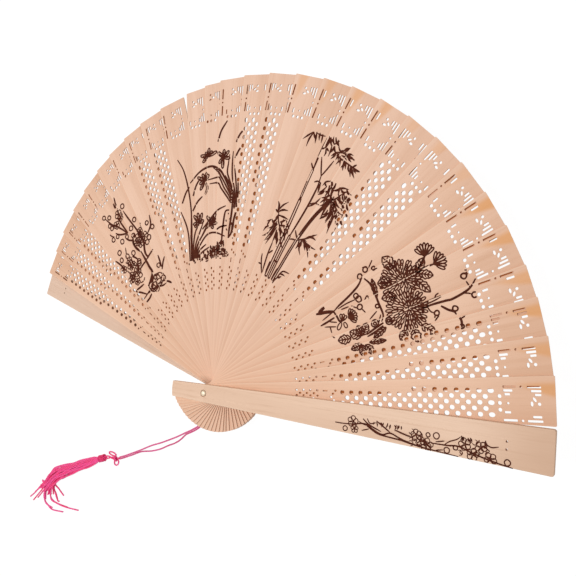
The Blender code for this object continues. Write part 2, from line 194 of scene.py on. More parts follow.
BOW_THREAD = 1.1 * MM
BOW_ROUTE = [  # of both strands through the bow, and how far each swings to its own side
    ((-79.0, -70.2, 1.3), 0.55), ((-81.8, -70.6, 1.6), -0.5), ((-84.6, -70.8, 2.4), 0.6),
]
BOW_COIL = Vector((-78.6, -69.9, 1.5)) * MM
COIL_STEPS = 20
BOW_LOOPS = [  # middle, half length, half width and turn in degrees
    ((-78.6, -72.4), 2.1, 1.8, 20.0), ((-83.4, -68.4), 3.6, 1.1, 6.0),
]
SKIRT_RINGS = [  # middle, half width and half height
    ((-97.0, -77.9), 3.2, 2.3), ((-103.0, -81.7), 4.1, 2.4), ((-109.0, -85.5), 4.7, 2.4),
    ((-115.0, -89.2), 5.2, 2.3), ((-121.0, -93.0), 5.6, 2.2), ((-127.0, -96.8), 6.1, 2.1),
    ((-132.2, -100.8), 6.6, 1.9), ((-136.2, -106.0), 6.6, 1.6), ((-139.2, -111.0), 6.1, 1.4),
    ((-141.6, -115.6), 5.0, 1.2),
]
STRAND_ENDS = [
    [(-141.0, -107.0), (-147.0, -115.0), (-152.5, -121.5), (-157.3, -127.4)],
    [(-140.0, -108.0), (-145.5, -116.0), (-152.3, -126.9)],
    [(-139.5, -109.0), (-143.5, -116.0), (-148.2, -123.5)],
    [(-140.0, -111.0), (-142.5, -118.0), (-141.0, -123.0), (-137.0, -125.2), (-130.5, -125.0),
     (-121.7, -123.1)],
    [(-136.0, -110.0), (-136.5, -116.0), (-133.5, -119.8), (-128.3, -120.8), (-118.0, -118.6),
     (-106.6, -116.3)],
    [(-133.0, -107.4), (-128.5, -110.4), (-123.1, -111.8)],
    [(-133.5, -109.4), (-130.5, -114.0), (-127.5, -117.5), (-125.1, -118.8)],
]
SKIRT_STRANDS = 30
SHARED_RINGS = 8  # that a strand with a long end runs through
STRAND_WIDTH = 1.1 * MM

# Burnt lines
LINE_HEIGHT = 0.05 * MM
LINE_SUNK = 0.03 * MM
LIFT_STEP = 0.0015 * MM  # so that crossing strokes don't share a face
LIFT_LEVELS = 20
LINE_STEP = 0.32 * MM  # between the points of a stroke
LINE_WEIGHT = 1.12  # widths as burnt, for widths as drawn
EDGE_MARGIN = 0.1 * MM  # a stroke stays this far inside the edge that laps over the next blade
HOLE_MARGIN = 0.3 * MM
HEAD_RINGS = ((0.08, 8), (0.28, 14), (0.50, 21), (0.72, 28))  # reach and petals
# Painted shadow: brown spots on a blade under the next blade's holes, shifted to the holes' shaded side,
# stand in for the shade and reddish bounce light in the gap
LINE_FINISH, SHADOW_FINISH, PALE_SHADOW_FINISH = range(3)
SHADOW_HEIGHT = 0.02 * MM
SHADOW_SHIFT = Vector((-0.45, 0.0, 0.0)) * MM
ONE_COLUMN_FROM = 26  # from this blade on only the left-hand column gets painted shadow beneath
COLUMN_FROM = {True: 5.2, False: 2.4}  # across, where that column starts in the fret and below it
COLUMN_SHIFT = 0.15  # to the left, as a share of a hole's width
CLEAR_BLADES = (12, 13)  # only their outer slits get painted shadow beneath
OUTER_SLITS_FROM = 6.0
CLEAR_BELOW = 10  # before this blade the frets get no painted shadow beneath, and the lattices only a little
LITTLE = 0.5
SHADOW_FORM = ((-0.46, 0.22), (-0.36, 0.29), (0.36, 0.29), (0.46, 0.22))  # along and half width, as shares

draws = random.Random(7)


# Helpers for node trees

def add_node(tree, kind, inputs=None, **settings):
    """A node with its settings, its inputs set to values or linked to other nodes' sockets."""
    made = tree.nodes.new(kind)
    for name, value in settings.items():
        setattr(made, name, value)
    for key, value in (inputs or {}).items():
        if isinstance(value, bpy.types.NodeSocket):
            tree.links.new(value, made.inputs[key])
        else:
            made.inputs[key].default_value = value
    return made


def new_tree(name, sockets):
    """An empty geometry tree with named inputs. Returns the tree, its input sockets and its output."""
    tree = bpy.data.node_groups.new(name, "GeometryNodeTree")
    face = tree.interface
    face.new_socket("Geometry", in_out="INPUT", socket_type="NodeSocketGeometry")
    for label, kind in sockets.items():
        face.new_socket(label, in_out="INPUT", socket_type="NodeSocket" + kind)
    face.new_socket("Geometry", in_out="OUTPUT", socket_type="NodeSocketGeometry")
    start = tree.nodes.new("NodeGroupInput")
    end = tree.nodes.new("NodeGroupOutput")
    return tree, start.outputs, end.inputs[0]


def attribute(tree, name, kind="FLOAT"):
    """The field of a named attribute."""
    return add_node(tree, "GeometryNodeInputNamedAttribute", {"Name": name}, data_type=kind).outputs[0]


def math_of(tree, operation, first, second=0.0):
    """One sum on two numbers or fields."""
    return add_node(tree, "ShaderNodeMath", {0: first, 1: second}, operation=operation).outputs[0]


def grown(name, base, tree, values):
    """The plain mesh that a tree makes from a base, as an object at the origin."""
    holder = bpy.data.objects.new(name + "_base", base)
    bpy.context.scene.collection.objects.link(holder)
    step = holder.modifiers.new(tree.name, "NODES")
    step.node_group = tree
    named = {item.name: item.identifier for item in tree.interface.items_tree if item.in_out == "INPUT"}
    for label, value in values.items():
        step[named[label]] = value
    graph = bpy.context.evaluated_depsgraph_get()
    made = bpy.data.meshes.new_from_object(
        holder.evaluated_get(graph), preserve_all_data_layers=True, depsgraph=graph)
    made.name = name
    bpy.data.objects.remove(holder)
    bpy.data.meshes.remove(base)
    return shown(name, made)


def shown(name, mesh):
    """A mesh as an object in the scene, at the origin."""
    piece = bpy.data.objects.new(name, mesh)
    bpy.context.scene.collection.objects.link(piece)
    return piece


def store(mesh, name, values, kind="FLOAT"):
    """Keep one value for each point of a mesh."""
    field = "vector" if kind == "FLOAT_VECTOR" else "value"
    flat = [part for value in values for part in value] if kind == "FLOAT_VECTOR" else values
    mesh.attributes.new(name, kind, "POINT").data.foreach_set(field, flat)


def mesh_of(name, shape, *finishes, sharp_deg=None):
    """A built shape as a mesh with its finishes, smooth up to an angle where one is given."""
    mesh = bpy.data.meshes.new(name)
    shape.to_mesh(mesh)
    shape.free()
    for finish in finishes:
        mesh.materials.append(finish)
    if sharp_deg:
        mesh.shade_smooth()
        mesh.set_sharp_from_angle(angle=math.radians(sharp_deg))
    return mesh


def place(piece, body, slot, *nodes):
    """Let a piece ride on its body and stand for CAD nodes. The slot is not used."""
    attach(piece, body)
    if nodes:
        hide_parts(*nodes)
    return piece


# Materials

def new_material(name, roughness, **sockets):
    """A Principled material with its constant values set. Returns it, its tree and its shader."""
    made = bpy.data.materials.new(name)
    made.use_nodes = True
    tree = made.node_tree
    shader = tree.nodes["Principled BSDF"]
    shader.inputs["Roughness"].default_value = roughness
    for label, value in sockets.items():
        shader.inputs[label.replace("_", " ")].default_value = value
    return made, tree, shader


def ramp(tree, factor, stops):
    """A colour ramp between two (place, colour) stops."""
    made = add_node(tree, "ShaderNodeValToRGB", {"Fac": factor})
    for element, (position, colour) in zip(made.color_ramp.elements, stops):
        element.position = position
        element.color = (*colour, 1.0)
    return made.outputs["Color"]


def noise(tree, vector, stretch, detail=3.0, roughness=0.55):
    """Noise on a vector that is first stretched along its axes."""
    drawn_out = add_node(tree, "ShaderNodeMapping", {"Vector": vector, "Scale": stretch})
    made = add_node(tree, "ShaderNodeTexNoise", {"Vector": drawn_out.outputs[0], "Scale": 1.0})
    made.inputs["Detail"].default_value = detail
    made.inputs["Roughness"].default_value = roughness
    return made.outputs[0]


def mixed(tree, factor, first, second):
    """Two colours mixed by a factor."""
    made = add_node(tree, "ShaderNodeMix", data_type="RGBA")
    for socket, value in ((made.inputs[0], factor), (made.inputs[6], first), (made.inputs[7], second)):
        if isinstance(value, bpy.types.NodeSocket):
            tree.links.new(value, socket)
        else:
            socket.default_value = value if socket.type == "VALUE" else (*value, 1.0)
    return made.outputs[2]


def spread(tree, value, low, high):
    """A value brought smoothly from 0 at low to 1 at high."""
    made = add_node(tree, "ShaderNodeMapRange", {"Value": value, "From Min": low, "From Max": high})
    made.interpolation_type = "SMOOTHSTEP"
    return made.outputs[0]


def grain_bump(tree, shader, height, strength, distance):
    """Fine relief along the grain."""
    made = add_node(tree, "ShaderNodeBump", {"Height": height, "Strength": strength, "Distance": distance})
    tree.links.new(made.outputs[0], shader.inputs["Normal"])


def wood(name, widths, pale, warm, deep, streaks, lap_shade, darker_end, darker_root):
    """Bare sanded wood: grain along the stick, a painted highlight along the edges, painted shade towards
    the next stick, tanned tips.
    """
    made, tree, shader = new_material(name, 0.6, Specular_IOR_Level=0.25)
    along = add_node(tree, "ShaderNodeAttribute", attribute_name="along_stick")
    tone = add_node(tree, "ShaderNodeAttribute", attribute_name="tone").outputs["Fac"]
    tan = add_node(tree, "ShaderNodeAttribute", attribute_name="tan").outputs["Fac"]
    vector = along.outputs["Vector"]
    figure = noise(tree, vector, (9.0, 130.0, 1.0), 2.0)
    streak = noise(tree, vector, (22.0, 620.0, 1.0), 4.0, 0.62)
    fibre = noise(tree, vector, (70.0, 3600.0, 1.0), 2.0)
    base = mixed(tree, tone, pale, warm)
    split = add_node(tree, "ShaderNodeSeparateXYZ", {0: vector})
    out, across = split.outputs[0], split.outputs[1]
    near_hub = math_of(tree, "MULTIPLY", spread(tree, out, 110.0 * MM, 20.0 * MM), darker_root)
    base = mixed(tree, near_hub, base, deep)
    base = mixed(tree, spread(tree, figure, 0.38, 0.72), base, mixed(tree, 0.18, base, deep))
    dark_streak = math_of(tree, "MULTIPLY", spread(tree, streak, 0.52, 0.78), streaks)
    base = mixed(tree, dark_streak, base, deep)
    base = mixed(tree, math_of(tree, "MULTIPLY", spread(tree, fibre, 0.45, 0.8), 0.16), base, deep)
    slope = (widths[1] - widths[0]) / (2 * STICK_REACH)
    half = math_of(tree, "ADD", math_of(tree, "MULTIPLY", out, slope), widths[0] / 2)
    from_edge = math_of(tree, "SUBTRACT", half, across)
    from_side = math_of(tree, "SUBTRACT", half, math_of(tree, "ABSOLUTE", across))
    # Painted shade: darker towards the next stick, where it laps over this one
    lap_shade_share = math_of(tree, "DIVIDE", from_edge, math_of(tree, "MULTIPLY", out, STICK_TURN))
    lap_shade_share = math_of(tree, "ADD", lap_shade_share, math_of(tree, "MULTIPLY", figure, 0.5))
    base = mixed(tree, math_of(tree, "MULTIPLY", spread(tree, lap_shade_share, 0.55, 1.35), lap_shade), base, deep)
    # Painted highlight: a paler band along the stick's edges, standing in for light caught by the rounded
    # edges
    rim = math_of(tree, "MULTIPLY", spread(tree, from_side, 0.9 * MM, 0.2 * MM), 0.28)
    base = mixed(tree, rim, base, EDGE_HIGHLIGHT)
    from_tip = math_of(tree, "SUBTRACT", STICK_REACH, out)
    far_side = math_of(tree, "SUBTRACT", 9.6 * MM, math_of(tree, "MULTIPLY", from_tip, 0.34))
    wedge = math_of(tree, "MULTIPLY", spread(tree, from_edge, 1.2 * MM, 4.4 * MM),
                    spread(tree, math_of(tree, "SUBTRACT", far_side, from_edge), 0.0, 2.4 * MM))
    stain = math_of(tree, "MULTIPLY", wedge, spread(tree, from_tip, 20.0 * MM, 4.0 * MM))
    base = mixed(tree, math_of(tree, "MULTIPLY", stain, tan), base, TAN_STAIN)
    near_tip = spread(tree, out, 0.78 * STICK_REACH, 0.98 * STICK_REACH)
    end_shade = math_of(tree, "MULTIPLY", near_tip, darker_end)
    base = mixed(tree, math_of(tree, "MULTIPLY", end_shade, tone), base, deep)
    tree.links.new(base, shader.inputs["Base Color"])
    dull = ramp(tree, streak, [(0.3, (0.52,) * 3), (0.75, (0.72,) * 3)])
    tree.links.new(dull, shader.inputs["Roughness"])
    grain_bump(tree, shader, fibre, 0.25, 0.05 * MM)
    return made


def burn_and_shadow_brown(name, light, dark, roughness):
    """Uneven brown: wood browned by heat, and the painted shadow in holes over a blade."""
    made, tree, shader = new_material(name, roughness, Specular_IOR_Level=0.05)
    place_on = add_node(tree, "ShaderNodeTexCoord").outputs["Object"]
    uneven = noise(tree, place_on, (420.0, 420.0, 420.0), 4.0)
    tree.links.new(ramp(tree, uneven, [(0.32, dark), (0.7, light)]), shader.inputs["Base Color"])
    grain_bump(tree, shader, uneven, 0.3, 0.05 * MM)
    return made


def brass():
    """Dull brass with fine rubbing marks and a little tarnish."""
    made, tree, shader = new_material("rivet_brass", 0.45, Metallic=1.0)
    place_on = add_node(tree, "ShaderNodeTexCoord").outputs["Object"]
    tarnish = noise(tree, place_on, (900.0, 900.0, 900.0), 3.0)
    rubbed = noise(tree, place_on, (4000.0, 900.0, 900.0), 2.0)
    tone = ramp(tree, tarnish, [(0.35, (0.70, 0.59, 0.45)), (0.7, (0.50, 0.41, 0.30))])
    tree.links.new(tone, shader.inputs["Base Color"])
    dull = ramp(tree, rubbed, [(0.3, (0.5,) * 3), (0.7, (0.64,) * 3)])
    tree.links.new(dull, shader.inputs["Roughness"])
    grain_bump(tree, shader, rubbed, 0.1, 0.02 * MM)
    return made


def pink_thread(name, light, full):
    """Dyed twisted thread: fibres along the ply, a tone of its own for each strand, a soft sheen."""
    made, tree, shader = new_material(name, 0.55, Sheen_Weight=0.35, Sheen_Roughness=0.4)
    shader.inputs["Sheen Tint"].default_value = (1.0, 0.55, 0.72, 1.0)
    tone = add_node(tree, "ShaderNodeAttribute", attribute_name="tone").outputs["Fac"]
    place_on = add_node(tree, "ShaderNodeTexCoord").outputs["Object"]
    fibre = noise(tree, place_on, (2600.0, 2600.0, 2600.0), 2.0)
    patch = noise(tree, place_on, (120.0, 120.0, 120.0), 2.0)
    base = mixed(tree, tone, light, full)
    base = mixed(tree, spread(tree, patch, 0.45, 0.7), base, light)
    worn = math_of(tree, "MULTIPLY", spread(tree, fibre, 0.5, 0.75), 0.2)
    base = mixed(tree, worn, base, (0.70, 0.016, 0.13))
    tree.links.new(base, shader.inputs["Base Color"])
    grain_bump(tree, shader, fibre, 0.35, 0.08 * MM)
    return made


BLADE_WOOD = wood(
    "blade_wood_grain", BLADE_WIDTHS, (0.915, 0.62, 0.47), (0.89, 0.575, 0.405), (0.62, 0.33, 0.19),
    streaks=0.28, lap_shade=0.24, darker_end=0.28, darker_root=0.2)
GUARD_WOOD = wood(
    "guard_wood_grain", GUARD_WIDTHS, (0.815, 0.584, 0.45), (0.89, 0.625, 0.46), (0.58, 0.34, 0.21),
    streaks=0.42, lap_shade=0.12, darker_end=0.47, darker_root=0.08)
CUT_EDGE = burn_and_shadow_brown("cut_edge", (0.84, 0.46, 0.25), (0.62, 0.29, 0.13), 0.85)
# Painted shadow in holes that lie over the blade beneath, a dark one and a paler one
HOLE_SHADOW = burn_and_shadow_brown("painted_hole_shadow", (0.48, 0.16, 0.045), (0.33, 0.09, 0.022), 0.85)
PALE_HOLE_SHADOW = burn_and_shadow_brown("painted_pale_hole_shadow", (0.72, 0.32, 0.13), (0.56, 0.22, 0.085), 0.85)
BURNT_LINE = burn_and_shadow_brown("burnt_line", (0.115, 0.030, 0.015), (0.060, 0.013, 0.008), 0.9)
BRASS = brass()
PINK = pink_thread("pink_thread", (0.97, 0.085, 0.35), (0.93, 0.025, 0.16))
CORD_PINK = pink_thread("pink_cord", (0.80, 0.11, 0.33), (0.68, 0.06, 0.21))


# Sticks

behaviour = frame["record"]["behaviour"]
fold = next(joint for joint in frame["joints"] if joint["name"] == "fan_fold")
OPEN_ANGLE = math.radians(fold["range_deg"][1])
SHARES = {link["joint"]: link["ratio"] for link in behaviour["couplings"]}


def blade_name(number):
    return f"blade_{number:02d}"


def axis_of(share):
    """Heading of a stick that has swung a share of the way from the back guard to the front guard."""
    return math.pi / 2 + OPEN_ANGLE * (0.5 - share)


BLADE_AXES = {n: axis_of(SHARES[blade_name(n) + "_swing"]) for n in range(1, BLADE_COUNT + 1)}


def half_width(along, widths):
    """Half of a stick's width at a distance along it."""
    return (widths[0] + (widths[1] - widths[0]) * along / STICK_REACH) / 2


def arc(centre, radius, start, end, steps):
    """Points on an arc, from one angle to another."""
    turns = [start + (end - start) * step / steps for step in range(steps + 1)]
    return [Vector((centre[0] + radius * math.cos(a), centre[1] + radius * math.sin(a))) for a in turns]


def stick_outline(widths, slant, corner, inset=0.0, worn=(0.0, 0.0)):
    """A tapered stick along +X: tip corners rounded or worn back, tail round about the rivet's axis."""
    slope = (widths[1] - widths[0]) / (2 * STICK_REACH)
    start = widths[0] / 2 - inset * math.sqrt(1 + slope * slope)
    tail = TAIL_REACH - inset
    square = 1 + slope * slope
    root = math.sqrt((start * slope) ** 2 - square * (start * start - tail * tail))
    tail_x = (-start * slope - root) / square
    turn = math.atan2(start + slope * tail_x, -tail_x)
    points = []
    for side, back in zip((-1, 1), worn):
        tip = STICK_REACH - inset + side * slant / 2
        rounding = max(corner - inset, 0.2 * MM)
        middle = (tip - rounding, side * (start + slope * tip - rounding - back))
        ends = (-math.pi / 2, 0.0) if side < 0 else (0.0, math.pi / 2)
        worn_from = STICK_REACH - WORN_LENGTH
        edge = [Vector((worn_from, side * (start + slope * worn_from)))] if back else []
        tip_corner = arc(middle, rounding, *ends, 4)
        points += edge + tip_corner if side < 0 else tip_corner + edge
    return points + arc((0.0, 0.0), tail, math.pi - turn, math.pi + turn, TAIL_STEPS)


def tip_fret(full, with_extra):
    """Stepped slits and dots near a tip, more on the full side, and three marks of a small flower."""
    holes = []
    sparse = (*SPARSE_SLITS, EXTRA_SLIT) if with_extra else SPARSE_SLITS
    for side, slits in ((full, FULL_SLITS), (-full, sparse)):
        for column, low, high in slits:
            holes.append(Hole((low + high) / 2, side * column, high - low, FRET_SLIT_WIDTH))
        holes.append(Hole(FRET_MIDDLE, side * slits[0][0], FRET_DOT, FRET_DOT, True))
    leaf = FLOWER_LEAF._replace(across=FLOWER_LEAF.across * full, turn_deg=FLOWER_LEAF.turn_deg * full)
    holes += [FLOWER_DOT, leaf, FLOWER_CUP]
    along, apart = FOOT_DOTS
    holes += [Hole(along, apart * column, FOOT_DOT, FOOT_DOT, True) for column in (-1, 0, 1)]
    return holes


def lattice(narrow):
    """Checkered square holes, five or four columns wide near the tip and three further in."""
    holes = []
    rows = int((LATTICE_TOP - LATTICE_END) / LATTICE_PITCH[0]) + 1
    for row in range(rows):
        along = LATTICE_TOP - row * LATTICE_PITCH[0]
        columns = (-1, 1) if row % 2 else (0, 2) if narrow else (-2, 0, 2)
        for column in columns:
            if abs(column) == 2 and along < WIDE_COLUMNS_END:
                continue
            size = LATTICE_TOP_HOLE if row == 0 else LATTICE_HOLE
            holes.append(Hole(along, column * LATTICE_PITCH[1], *size))
    return holes


def root_dots(with_lattice, dense):
    """Small dots near the rivet: a zigzag on every blade, and a cluster with a dash under each lattice."""
    holes = []
    for row in range(ROOT_ROWS):
        along = ROOT_TOP - ROOT_PITCH * row
        holes.append(Hole(along, ROOT_ZIGZAG[row % 2], *ROOT_DOT, True))
        if dense and row % 2 == 0:
            holes.append(Hole(along, *DENSE_DOT, True))
        if with_lattice:
            holes.append(Hole(along - SECOND_STEP, SECOND_ZIGZAG[row % 2], *ROOT_DOT, True))
    if with_lattice:
        holes += [Hole(along, across, *CLUSTER_DOT, True) for along, across in ROOT_CLUSTER]
        along, across, *size = ROOT_DASH
        holes += [Hole(along, side * across, *size) for side in (-1, 1)]
    return holes


def blade_holes(number):
    """Every hole of a blade."""
    with_lattice = number in LATTICE_BLADES
    bore = RIVET_BORE / MM
    thread = THREAD_HOLE / MM
    pattern = [Hole(THREAD_REACH / MM, 0.0, thread, thread, True)]
    pattern += root_dots(with_lattice, number >= DENSE_ROOTS_FROM)
    if with_lattice:
        pattern += tip_fret(1, True) + lattice(number in NARROW_LATTICES)
    else:
        pattern += tip_fret(-1, number >= EXTRA_FROM)
    holes = [Hole(0.0, 0.0, bore, bore, True)]
    for hole in pattern:
        across = hole.across - PATTERN_SHIFTS[number - 1] * hole.along / FRET_MIDDLE
        room = half_width(hole.along * MM, BLADE_WIDTHS) / MM - RIM_LEFT
        if abs(across) + hole.width / 2 < room:
            holes.append(hole._replace(across=across))
    return holes


BLADE_HOLES = {number: blade_holes(number) for number in BLADE_AXES}


def pierced_stick_tree():
    """An outline and its hole points become a pierced plate with browned hole walls, laid at its place."""
    sockets = {"Thickness": "Float", "Level": "Float", "Turn": "Float", "Grain Shift": "Float"}
    sockets |= {"Tone": "Float", "Tan": "Float", "Corner": "Float", "Slit Corner": "Float"}
    sockets |= {"Wood": "Material", "Cut Edge": "Material"}
    tree, given, result = new_tree("pierced_stick", sockets)
    kind = attribute(tree, "hole_kind")
    size = attribute(tree, "hole_size", "FLOAT_VECTOR")
    turned = attribute(tree, "hole_turn", "FLOAT_VECTOR")
    is_hole = math_of(tree, "GREATER_THAN", kind, 0.5)
    parts = add_node(tree, "GeometryNodeSeparateGeometry", {"Geometry": given["Geometry"]})
    tree.links.new(is_hole, parts.inputs["Selection"])
    outline = add_node(tree, "GeometryNodeMeshToCurve", {"Mesh": parts.outputs["Inverted"]})
    square = add_node(tree, "GeometryNodeCurvePrimitiveQuadrilateral", {"Width": 1.0, "Height": 1.0})
    shapes = []
    for corner in (given["Corner"], given["Slit Corner"]):
        ease = {"Curve": square.outputs[0], "Count": 2, "Radius": corner}
        eased = add_node(tree, "GeometryNodeFilletCurve", ease, mode="POLY")
        shapes.append(eased.outputs[0])
    dot = add_node(tree, "GeometryNodeCurvePrimitiveCircle", {"Resolution": 10, "Radius": 0.5})
    shapes.append(dot.outputs[0])
    joined = add_node(tree, "GeometryNodeJoinGeometry")
    tree.links.new(outline.outputs[0], joined.inputs[0])
    for index, shape in enumerate(shapes):
        chosen = math_of(tree, "COMPARE", kind, index + 1.0)
        laid = {"Points": parts.outputs["Selection"], "Selection": chosen, "Instance": shape}
        laid |= {"Scale": size, "Rotation": turned}
        holes = add_node(tree, "GeometryNodeInstanceOnPoints", laid)
        loose = add_node(tree, "GeometryNodeRealizeInstances", {"Geometry": holes.outputs[0]})
        tree.links.new(loose.outputs[0], joined.inputs[0])
    sheet = add_node(tree, "GeometryNodeFillCurve", {"Curve": joined.outputs[0]}, mode="TRIANGLES")
    lift = {"Mesh": sheet.outputs[0], "Offset": (0.0, 0.0, 1.0), "Offset Scale": given["Thickness"]}
    raised = add_node(tree, "GeometryNodeExtrudeMesh", lift | {"Individual": False})
    under = add_node(tree, "GeometryNodeFlipFaces", {"Mesh": sheet.outputs[0]})
    whole = add_node(tree, "GeometryNodeJoinGeometry", {0: raised.outputs["Mesh"]})
    tree.links.new(under.outputs[0], whole.inputs[0])
    weld = {"Geometry": whole.outputs[0], "Distance": WELD}
    closed = add_node(tree, "GeometryNodeMergeByDistance", weld)
    spot = add_node(tree, "GeometryNodeInputPosition").outputs[0]
    flat_spot = add_node(tree, "ShaderNodeVectorMath", {0: spot, 1: (1.0, 1.0, 0.0)}, operation="MULTIPLY")
    near = {"Geometry": parts.outputs["Inverted"], "Sample Position": flat_spot.outputs[0]}
    rim = add_node(tree, "GeometryNodeProximity", near, target_element="EDGES")
    inside = math_of(tree, "GREATER_THAN", rim.outputs["Distance"], WALL_INSIDE)
    browned = math_of(tree, "MULTIPLY", raised.outputs["Side"], inside)
    mark = {"Geometry": closed.outputs[0], "Name": "browned", "Value": browned}
    marked = add_node(tree, "GeometryNodeStoreNamedAttribute", mark, domain="FACE")
    shift = add_node(tree, "ShaderNodeCombineXYZ", {"Z": given["Grain Shift"]})
    own = add_node(tree, "ShaderNodeVectorMath", {0: spot, 1: shift.outputs[0]}, operation="ADD")
    last = marked.outputs[0]
    fields = (("along_stick", "FLOAT_VECTOR", own.outputs[0]), ("tone", "FLOAT", given["Tone"]))
    for name, data_type, value in (*fields, ("tan", "FLOAT", given["Tan"])):
        keep = {"Geometry": last, "Name": name, "Value": value}
        last = add_node(tree, "GeometryNodeStoreNamedAttribute", keep, data_type=data_type).outputs[0]
    move = add_node(tree, "ShaderNodeCombineXYZ", {"Z": given["Level"]})
    turn = add_node(tree, "ShaderNodeCombineXYZ", {"Z": given["Turn"]})
    laid = add_node(tree, "GeometryNodeTransform", {"Geometry": last, "Translation": move.outputs[0]})
    tree.links.new(turn.outputs[0], laid.inputs["Rotation"])
    real = add_node(tree, "GeometryNodeRealizeInstances", {"Geometry": laid.outputs[0]})
    face = {"Geometry": real.outputs[0], "Material": given["Wood"]}
    faced = add_node(tree, "GeometryNodeSetMaterial", face)
    edged = add_node(tree, "GeometryNodeSetMaterial", {"Geometry": faced.outputs[0]})
    tree.links.new(attribute(tree, "browned"), edged.inputs["Selection"])
    tree.links.new(given["Cut Edge"], edged.inputs["Material"])
    tree.links.new(edged.outputs[0], result)
    return tree


def stick_base(name, outline, holes):
    """The outline as a loop of edges, and each hole as a loose point with its size and kind."""
    points = [(*point, 0.0) for point in outline]
    points += [(hole.along * MM, hole.across * MM, 0.0) for hole in holes]
    edges = [(k, (k + 1) % len(outline)) for k in range(len(outline))]
    base = bpy.data.meshes.new(name)
    base.from_pydata(points, edges, [])
    rim = len(outline)
    sizes = [(hole.length * MM, hole.width * MM, 1) for hole in holes]
    turns = [(0, 0, math.radians(hole.turn_deg)) for hole in holes]
    store(base, "hole_kind", [0.0] * rim + [hole.kind for hole in holes])
    store(base, "hole_size", [(1, 1, 1)] * rim + sizes, "FLOAT_VECTOR")
    store(base, "hole_turn", [(0, 0, 0)] * rim + turns, "FLOAT_VECTOR")
    return base


def make_blades():
    """Twenty-eight pierced blades, each on its own level."""
    tree = pierced_stick_tree()
    for number, axis in BLADE_AXES.items():
        worn = WORN_TIPS.get(number, (0.0, 0.0))
        outline = stick_outline(BLADE_WIDTHS, TIP_SLANT, BLADE_CORNER, worn=worn)
        low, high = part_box(blade_name(number))
        share = number / BLADE_COUNT
        values = {"Thickness": high.z - low.z, "Level": low.z, "Turn": axis}
        values |= {"Corner": HOLE_CORNER, "Slit Corner": SLIT_CORNER}
        values["Grain Shift"] = 3.7 * number
        # Warmer towards both sides of the fan, with tanned tips at the right
        values["Tone"] = min(1.0, 0.2 + 4.0 * (share - 0.5) ** 2 + draws.uniform(-0.1, 0.15))
        values["Tan"] = draws.uniform(0.25, 0.6) + 0.45 * (share > 0.8) if share > 0.55 else 0.0
        values |= {"Wood": BLADE_WOOD, "Cut Edge": CUT_EDGE}
        name = f"pierced_{blade_name(number)}"
        blade = grown(name, stick_base(name, outline, BLADE_HOLES[number]), tree, values)
        place(blade, blade_name(number), "blade_wood", blade_name(number))


def circle(centre, diameter, steps):
    """Points round a hole, anticlockwise."""
    return arc(centre, diameter / 2, 0.0, 2 * math.pi * (steps - 1) / steps, steps - 1)


def make_guard(node, share, bore_faces_up):
    """A thick end stick with eased edges, two thread holes and a counterbored rivet hole."""
    low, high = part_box(node)
    axis = axis_of(share)
    shape = bmesh.new()

    def ring(points, level):
        return [shape.verts.new((*point, level)) for point in points]

    def skin(loops):
        for first, second in zip(loops, loops[1:]):
            for k in range(len(first)):
                after = (k + 1) % len(first)
                shape.faces.new((first[k], first[after], second[after], second[k]))

    def cap(loops):
        edges = [shape.edges.get((loop[k - 1], loop[k])) for loop in loops for k in range(len(loop))]
        bmesh.ops.triangle_fill(shape, edges=edges, use_beauty=True, normal=(0, 0, 1))

    thick = high.z - low.z
    eased = [GUARD_EDGE * (1 - math.sin(math.pi / 2 * k / 3)) for k in range(4)]
    rise = [GUARD_EDGE * (1 - math.cos(math.pi / 2 * k / 3)) for k in range(4)]
    levels = list(zip(eased, rise)) + [(inset, thick - up) for inset, up in zip(eased[::-1], rise[::-1])]
    sides = [ring(stick_outline(GUARD_WIDTHS, 0.0, GUARD_CORNER, inset), up) for inset, up in levels]
    skin(sides)
    step = thick - COUNTERBORE_DEPTH if bore_faces_up else COUNTERBORE_DEPTH
    lower, upper = (RIVET_BORE, COUNTERBORE) if bore_faces_up else (COUNTERBORE, RIVET_BORE)
    bore = [(lower, 0.0), (lower, step), (upper, step), (upper, thick)]
    holes = [[ring(circle((0, 0), wide, BORE_STEPS), level) for wide, level in bore]]
    for side in (-1, 1):
        middle = (THREAD_REACH, side * THREAD_PAIR_SPACING / 2)
        edge = circle(middle, THREAD_HOLE, THREAD_HOLE_STEPS)
        holes.append([ring(edge, level) for level in (0.0, thick)])
    for loops in holes:
        skin(loops)
    cap([sides[0], *(loops[0] for loops in holes)])
    cap([sides[-1], *(loops[-1] for loops in holes)])
    bmesh.ops.recalc_face_normals(shape, faces=shape.faces)
    own = [tuple(vert.co + Vector((0, 0, 40 + 9 * share))) for vert in shape.verts]
    shape.transform(Matrix.Translation((0, 0, low.z)) @ Matrix.Rotation(axis, 4, "Z"))
    mesh = mesh_of("grained_" + node, shape, GUARD_WOOD, sharp_deg=35)
    store(mesh, "along_stick", own, "FLOAT_VECTOR")
    store(mesh, "tone", [share] * len(own))
    store(mesh, "tan", [0.0] * len(own))
    place(shown(mesh.name, mesh), node, "guard_wood", node)


